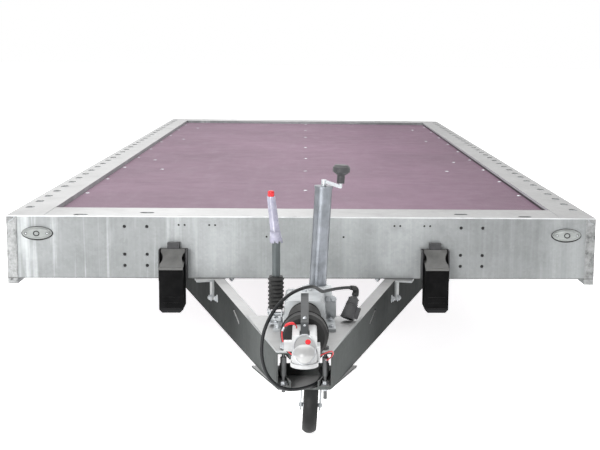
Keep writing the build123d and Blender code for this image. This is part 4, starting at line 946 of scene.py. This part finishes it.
def make_plug_trim(cord):
    """Rings, screw, insert and pins of the plug, and the sleeve where its cable leaves."""
    shape = Shape()
    for start, radius in PLUG_RINGS:
        foot = radius - PLUG_RING_DEPTH
        rings = [(start, foot), (start + 0.0008, radius), (start + 0.003, radius), (start + 0.0038, foot)]
        shape.turned(PLUG_MOUTH, PLUG_LEAN, rings, sides=40)
    facing = Vector((-0.2, -1, 0.1))
    facing = (facing - PLUG_LEAN * facing.dot(PLUG_LEAN)).normalized()
    screw = [(0, 0.0032), (0.001, 0.003), (0.0014, 0.0018)]
    shape.turned(PLUG_MOUTH + PLUG_LEAN * 0.034 + facing * 0.0215, facing, screw)
    shape.turned(PLUG_MOUTH, PLUG_LEAN, [(0.016, 0.0185), (0.022, 0.0188)], sides=32)
    across = PLUG_LEAN.orthogonal().normalized()
    other = PLUG_LEAN.cross(across)
    for count, radius in PIN_CIRCLES:
        for pin in circle(PLUG_MOUTH, radius, across, other, count):
            shape.turned(pin, PLUG_LEAN, [(0.006, 0.0012), (0.007, 0.0021), (0.017, 0.0021)], sides=12)
    shape.done("plug_trim", "black_plastic")

    sleeve = Shape()
    points = cord_points(cord)
    length = length_of(points)
    run = stretch_of(points, length - 0.058, length)
    radii = []
    for i in range(len(run)):
        fold = 0.0007 if i % 2 else 0.0
        radii.append(0.0072 + 0.0050 * i / (len(run) - 1) + fold)
    sleeve.tube(run, radii, sides=20)
    sleeve.done("cable_sleeve", "black_rubber", crease=60)


def make_breakaway_trim(cord):
    """Red clip sleeve and crimps on the breakaway cable."""
    points = cord_points(cord)
    shape = Shape()
    shape.tube(stretch_of(points, 0.016, 0.044), 0.0042, sides=16)
    shape.done("breakaway_clip", "red_plastic")
    crimps = Shape()
    for start in (0.050, length_of(points) - 0.030):
        crimps.tube(stretch_of(points, start, start + 0.014), 0.0034, sides=14)
    crimps.done("breakaway_crimps", "bright_zinc")


def surface_of(node):
    """A node's faces, ready for rays."""
    return BVHTree.FromObject(nodes[node], bpy.context.evaluated_depsgraph_get())


RAY_START = 0.3
MARK_PLACE = (0.010, BALL_Y + 0.0215, 0.5150)
MARK_FACING = (0, -0.80, 0.60)


def make_head_trim():
    """Red wear mark on the coupling head, and the rim of the dish in its front."""
    mark = Shape()
    mark.turned(MARK_PLACE, MARK_FACING, [(0, 0.0084), (0.0008, 0.0082), (0.0014, 0.0066)])
    mark.done("wear_mark", "red_plastic")
    dish = Shape()
    head = surface_of("coupling_head")
    rim = []
    for start in ellipse(0, BALL_Y - RAY_START, DISH_CENTRE_Z, *DISH_HALF, 56):
        struck = head.ray_cast(start, Vector((0, 1, 0)), 0.34)[0]
        rim.append(struck if struck else Vector((start.x, rim[-1].y, start.z)))
    dish.ring(rim, 0.0024)
    dish.done("head_dish", "silver_paint")


# Rivets up the front of the coupling handle: height, radius
HANDLE_RIVETS = ((0.562, 0.0062), (0.548, 0.0040))


def make_handle_rivets():
    """Domed rivets on the coupling handle."""
    rivet = Shape()
    handle = surface_of("coupling_handle")
    for height, radius in HANDLE_RIVETS:
        struck = handle.ray_cast(Vector((0, BALL_Y - RAY_START, height)), Vector((0, 1, 0)), 0.6)[0]
        if struck:
            dome = [(0, radius), (0.0012, radius * 0.95), (0.0024, radius * 0.6)]
            rivet.turned(struck, (0, -1, 0.2), dome)
    rivet.done("handle_rivets", "bright_zinc")


# Bands at the ends of the coupling gaiter: distance behind the nose, radius
GAITER_BANDS = ((0.192, 0.0515), (-0.019, 0.0732))
GAITER_HEIGHT = 0.490


def make_gaiter_bands():
    """Round bands that hold the coupling gaiter at both ends."""
    bands = Shape()
    for back, radius in GAITER_BANDS:
        bands.ring(ellipse(0, NOSE + back, GAITER_HEIGHT, radius, radius), 0.0022)
    bands.done("gaiter_bands", "black_rubber")


# Lugs on the overrun housing's top: sides, distance behind the nose, height and radius
LUG_SIDES = (-0.046, -0.026, -0.004, 0.018)
LUG_BACK = 0.375
LUG_PROFILE = ((-0.002, 0.0065), (0.005, 0.0062), (0.006, 0.0048), (0.006, 0.002))


def make_housing_lugs():
    """Row of short lugs on the top of the overrun housing."""
    lugs = Shape()
    housing = surface_of("overrun_housing")
    for x in LUG_SIDES:
        struck = housing.ray_cast(Vector((x, NOSE + LUG_BACK, 0.7)), Vector((0, 0, -1)), 0.25)[0]
        if struck:
            lugs.turned(struck, (0, 0, 1), LUG_PROFILE)
    lugs.done("housing_lugs", "grey_casting")


# Tyres: outer radius, side of their middle plane, blocks round the shoulder and depth of the grooves
TYRE_RADIUS = 0.2625
WHEEL_SIDE = 0.9525
TYRE_BLOCKS = 60
GROOVE_DEPTH = 0.007
# Shares of one block's pitch, and whether the tread is cut there
BLOCK_STEPS = ((0.0, 0.0), (0.36, 0.0), (0.72, 0.0), (0.755, 1.0), (0.965, 1.0))


def tyre_profile():
    """Half section from the middle to the bead: offset, radius, share of the block groove's depth."""
    crown = [(0.0, 0.0), (0.012, 0.0), (0.0125, -1), (0.0195, -1), (0.020, 0.0)]
    crown += [(0.0365, 0.0), (0.037, -1), (0.0445, -1), (0.045, 0.0), (0.0635, 0.0)]
    rows = []
    for offset, cut in crown:
        fall = 0.0030 * (offset / 0.0635) ** 2
        blocked = 1.0 if offset >= 0.045 else 0.45 if offset >= 0.020 and cut == 0.0 else 0.0
        rows.append((offset, TYRE_RADIUS - fall + cut * GROOVE_DEPTH, blocked if cut == 0.0 else 0.0))
    shoulder = (
        (0.074, 0.256, 1.0), (0.086, 0.243, 0.9), (0.0905, 0.233, 0.5),
        (0.0925, 0.228, 0.0), (0.0945, 0.225, 0.0), (0.096, 0.216, 0.0),
        (0.0972, 0.206, 0.0), (0.0972, 0.199, 0.0), (0.0962, 0.198, 0.0),
        (0.0958, 0.193, 0.0), (0.0935, 0.186, 0.0), (0.0905, 0.184, 0.0),
        (0.085, 0.177, 0.0), (0.0775, 0.169, 0.0), (0.0765, 0.1652, 0.0),
    )
    return rows + list(shoulder)


def make_tyre(wheel, side, wheel_y):
    """Road tyre with grooves round the crown and blocks across its shoulders."""
    half = tyre_profile()
    profile = [(-offset, radius, cut) for offset, radius, cut in reversed(half)] + half[1:]
    shape = Shape()
    pitch = 2 * math.pi / TYRE_BLOCKS
    rows = []
    for i in range(TYRE_BLOCKS):
        for share, cut in BLOCK_STEPS:
            angle = pitch * (i + share)
            ring = []
            for offset, radius, blocked in profile:
                reach = radius - cut * blocked * GROOVE_DEPTH * 0.8
                y, z = wheel_y + reach * math.cos(angle), TYRE_RADIUS + reach * math.sin(angle)
                ring.append((side * (WHEEL_SIDE + offset), y, z))
            rows.append(ring)
    shape.loops(rows, "joined")
    node = "tyre_" + wheel
    tyre = shape.done(node + "_tread", "tyre", "wheel_" + wheel, crease=28)
    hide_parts(node)


WHEEL_BOLTS = 5
WHEEL_BOLT_CIRCLE = 0.056
WHEEL_BOLT_FACE = 0.9965
WHEEL_BOLT_TURN = 0.3


def make_wheel_bolts(wheel, side, wheel_y):
    """Five ball-seat bolts and the hub cap's rim of one wheel."""
    shape = Shape()
    centre = Vector((side * WHEEL_BOLT_FACE, wheel_y, TYRE_RADIUS))
    along, upward = Vector((0, 1, 0)), Vector(UP)
    for place in circle(centre, WHEEL_BOLT_CIRCLE, along, upward, WHEEL_BOLTS, WHEEL_BOLT_TURN):
        shape.turned(place, (side, 0, 0), [(0, 0.0125), (0.002, 0.0125), (0.0045, 0.0105)], sides=20)
        head = [(0.003, 0.0098), (0.014, 0.0098), (0.0155, 0.0084), (0.0156, 0.004)]
        shape.turned(place, (side, 0, 0), head, sides=6)
    cap = [(0.0255, 0.0305), (0.0265, 0.0312), (0.030, 0.0312), (0.031, 0.0302)]
    shape.turned((side * (WHEEL_SIDE + 0.0300), wheel_y, TYRE_RADIUS), (side, 0, 0), cap, sides=36)
    shape.done("bolts_" + wheel, "bright_zinc", "wheel_" + wheel)


def make_wheels():
    """Tread and bolts of the six wheels."""
    for i, axle in enumerate(AXLES):
        for side, side_name in ((-1, "left"), (1, "right")):
            make_tyre(axle + "_" + side_name, side, axle_y(i))
            make_wheel_bolts(axle + "_" + side_name, side, axle_y(i))


def make_light(name, place, target, size, watts):
    """Soft square studio light that faces a target."""
    data = bpy.data.lights.new(name, "AREA")
    data.shape = "RECTANGLE"
    data.size, data.size_y = size
    data.energy = watts
    light = add_object(name, data)
    light.location = place
    light.rotation_euler = (Vector(target) - Vector(place)).to_track_quat("-Z", "Y").to_euler()


# Surroundings: their strength away from the bright sides, and how each bright side rises along its axis
DIM_SIDE = 0.35
BRIGHT_SIDES = (("Y", -0.15, 0.35), ("Z", 0.40, 0.85))
FLOOR_REACH = 60.0
FLOOR_HEIGHT = -0.0005
FLOOR_GLOW = 0.75
# Lights: name, place, target, width and length, watts
LIGHTS = (
    ("top", (0.0, 1.0, 5.5), (0.0, 1.0, 0.0), (5.0, 9.0), 420),
    ("left", (-2.6, -8.5, 2.6), (-0.5, -2.3, 0.5), (2.2, 3.0), 330),
)


def make_surroundings():
    """White surroundings that light the trailer from above and behind, and look even to the camera."""
    world = bpy.data.worlds.new("studio")
    world.use_nodes = True
    graph = Graph(world.node_tree)
    towards = graph.node("SeparateXYZ", {"Vector": graph.node("TexCoord").outputs["Generated"]}).outputs
    sides = []
    for axis, low, high in BRIGHT_SIDES:
        inputs = {"Value": towards[axis], "From Min": low, "From Max": high, "To Min": DIM_SIDE}
        sides.append(graph.node("MapRange", inputs, interpolation_type="SMOOTHSTEP").outputs["Result"])
    seen = graph.node("LightPath").outputs["Is Camera Ray"]
    studio = graph.tree.nodes["Background"].inputs
    graph.tree.links.new(graph.math("MAXIMUM", graph.math("MAXIMUM", *sides), seen), studio["Strength"])
    studio["Color"].default_value = (1, 1, 1, 1)
    bpy.context.scene.world = world


def make_stage():
    """Plain pale floor, even white surroundings and soft studio lights."""
    bpy.context.scene.view_settings.view_transform = "Standard"
    make_surroundings()
    mesh = bpy.data.meshes.new("floor")
    near, far = -FLOOR_REACH, FLOOR_REACH
    corners = [(x, y, FLOOR_HEIGHT) for x, y in ((near, near), (far, near), (far, far), (near, far))]
    mesh.from_pydata(corners, [], [(0, 1, 2, 3)])
    floor = add_object("floor", mesh)
    pale = Finish("floor", roughness=0.95)
    pale.colour(pale.ramp(pale.noise(0.8, 3), (0.0, 0.90), (1.0, 0.93)))
    pale.shader.inputs["Specular IOR Level"].default_value = 0.0
    pale.shader.inputs["Emission Color"].default_value = (1, 1, 1, 1)
    pale.shader.inputs["Emission Strength"].default_value = FLOOR_GLOW
    mesh.materials.append(pale.material)
    for name, place, target, size, watts in LIGHTS:
        make_light(name, place, target, size, watts)


make_camera()
cable, breakaway = make_cords()
dress_nodes()
make_deck_screws()
make_bolts()
make_hole_plugs()
make_welds()
make_lamp_trim()
make_chock_trim()
make_grip_film()
make_plug_trim(cable)
make_breakaway_trim(breakaway)
make_head_trim()
make_handle_rivets()
make_gaiter_bands()
make_housing_lugs()
make_wheels()
make_stage()
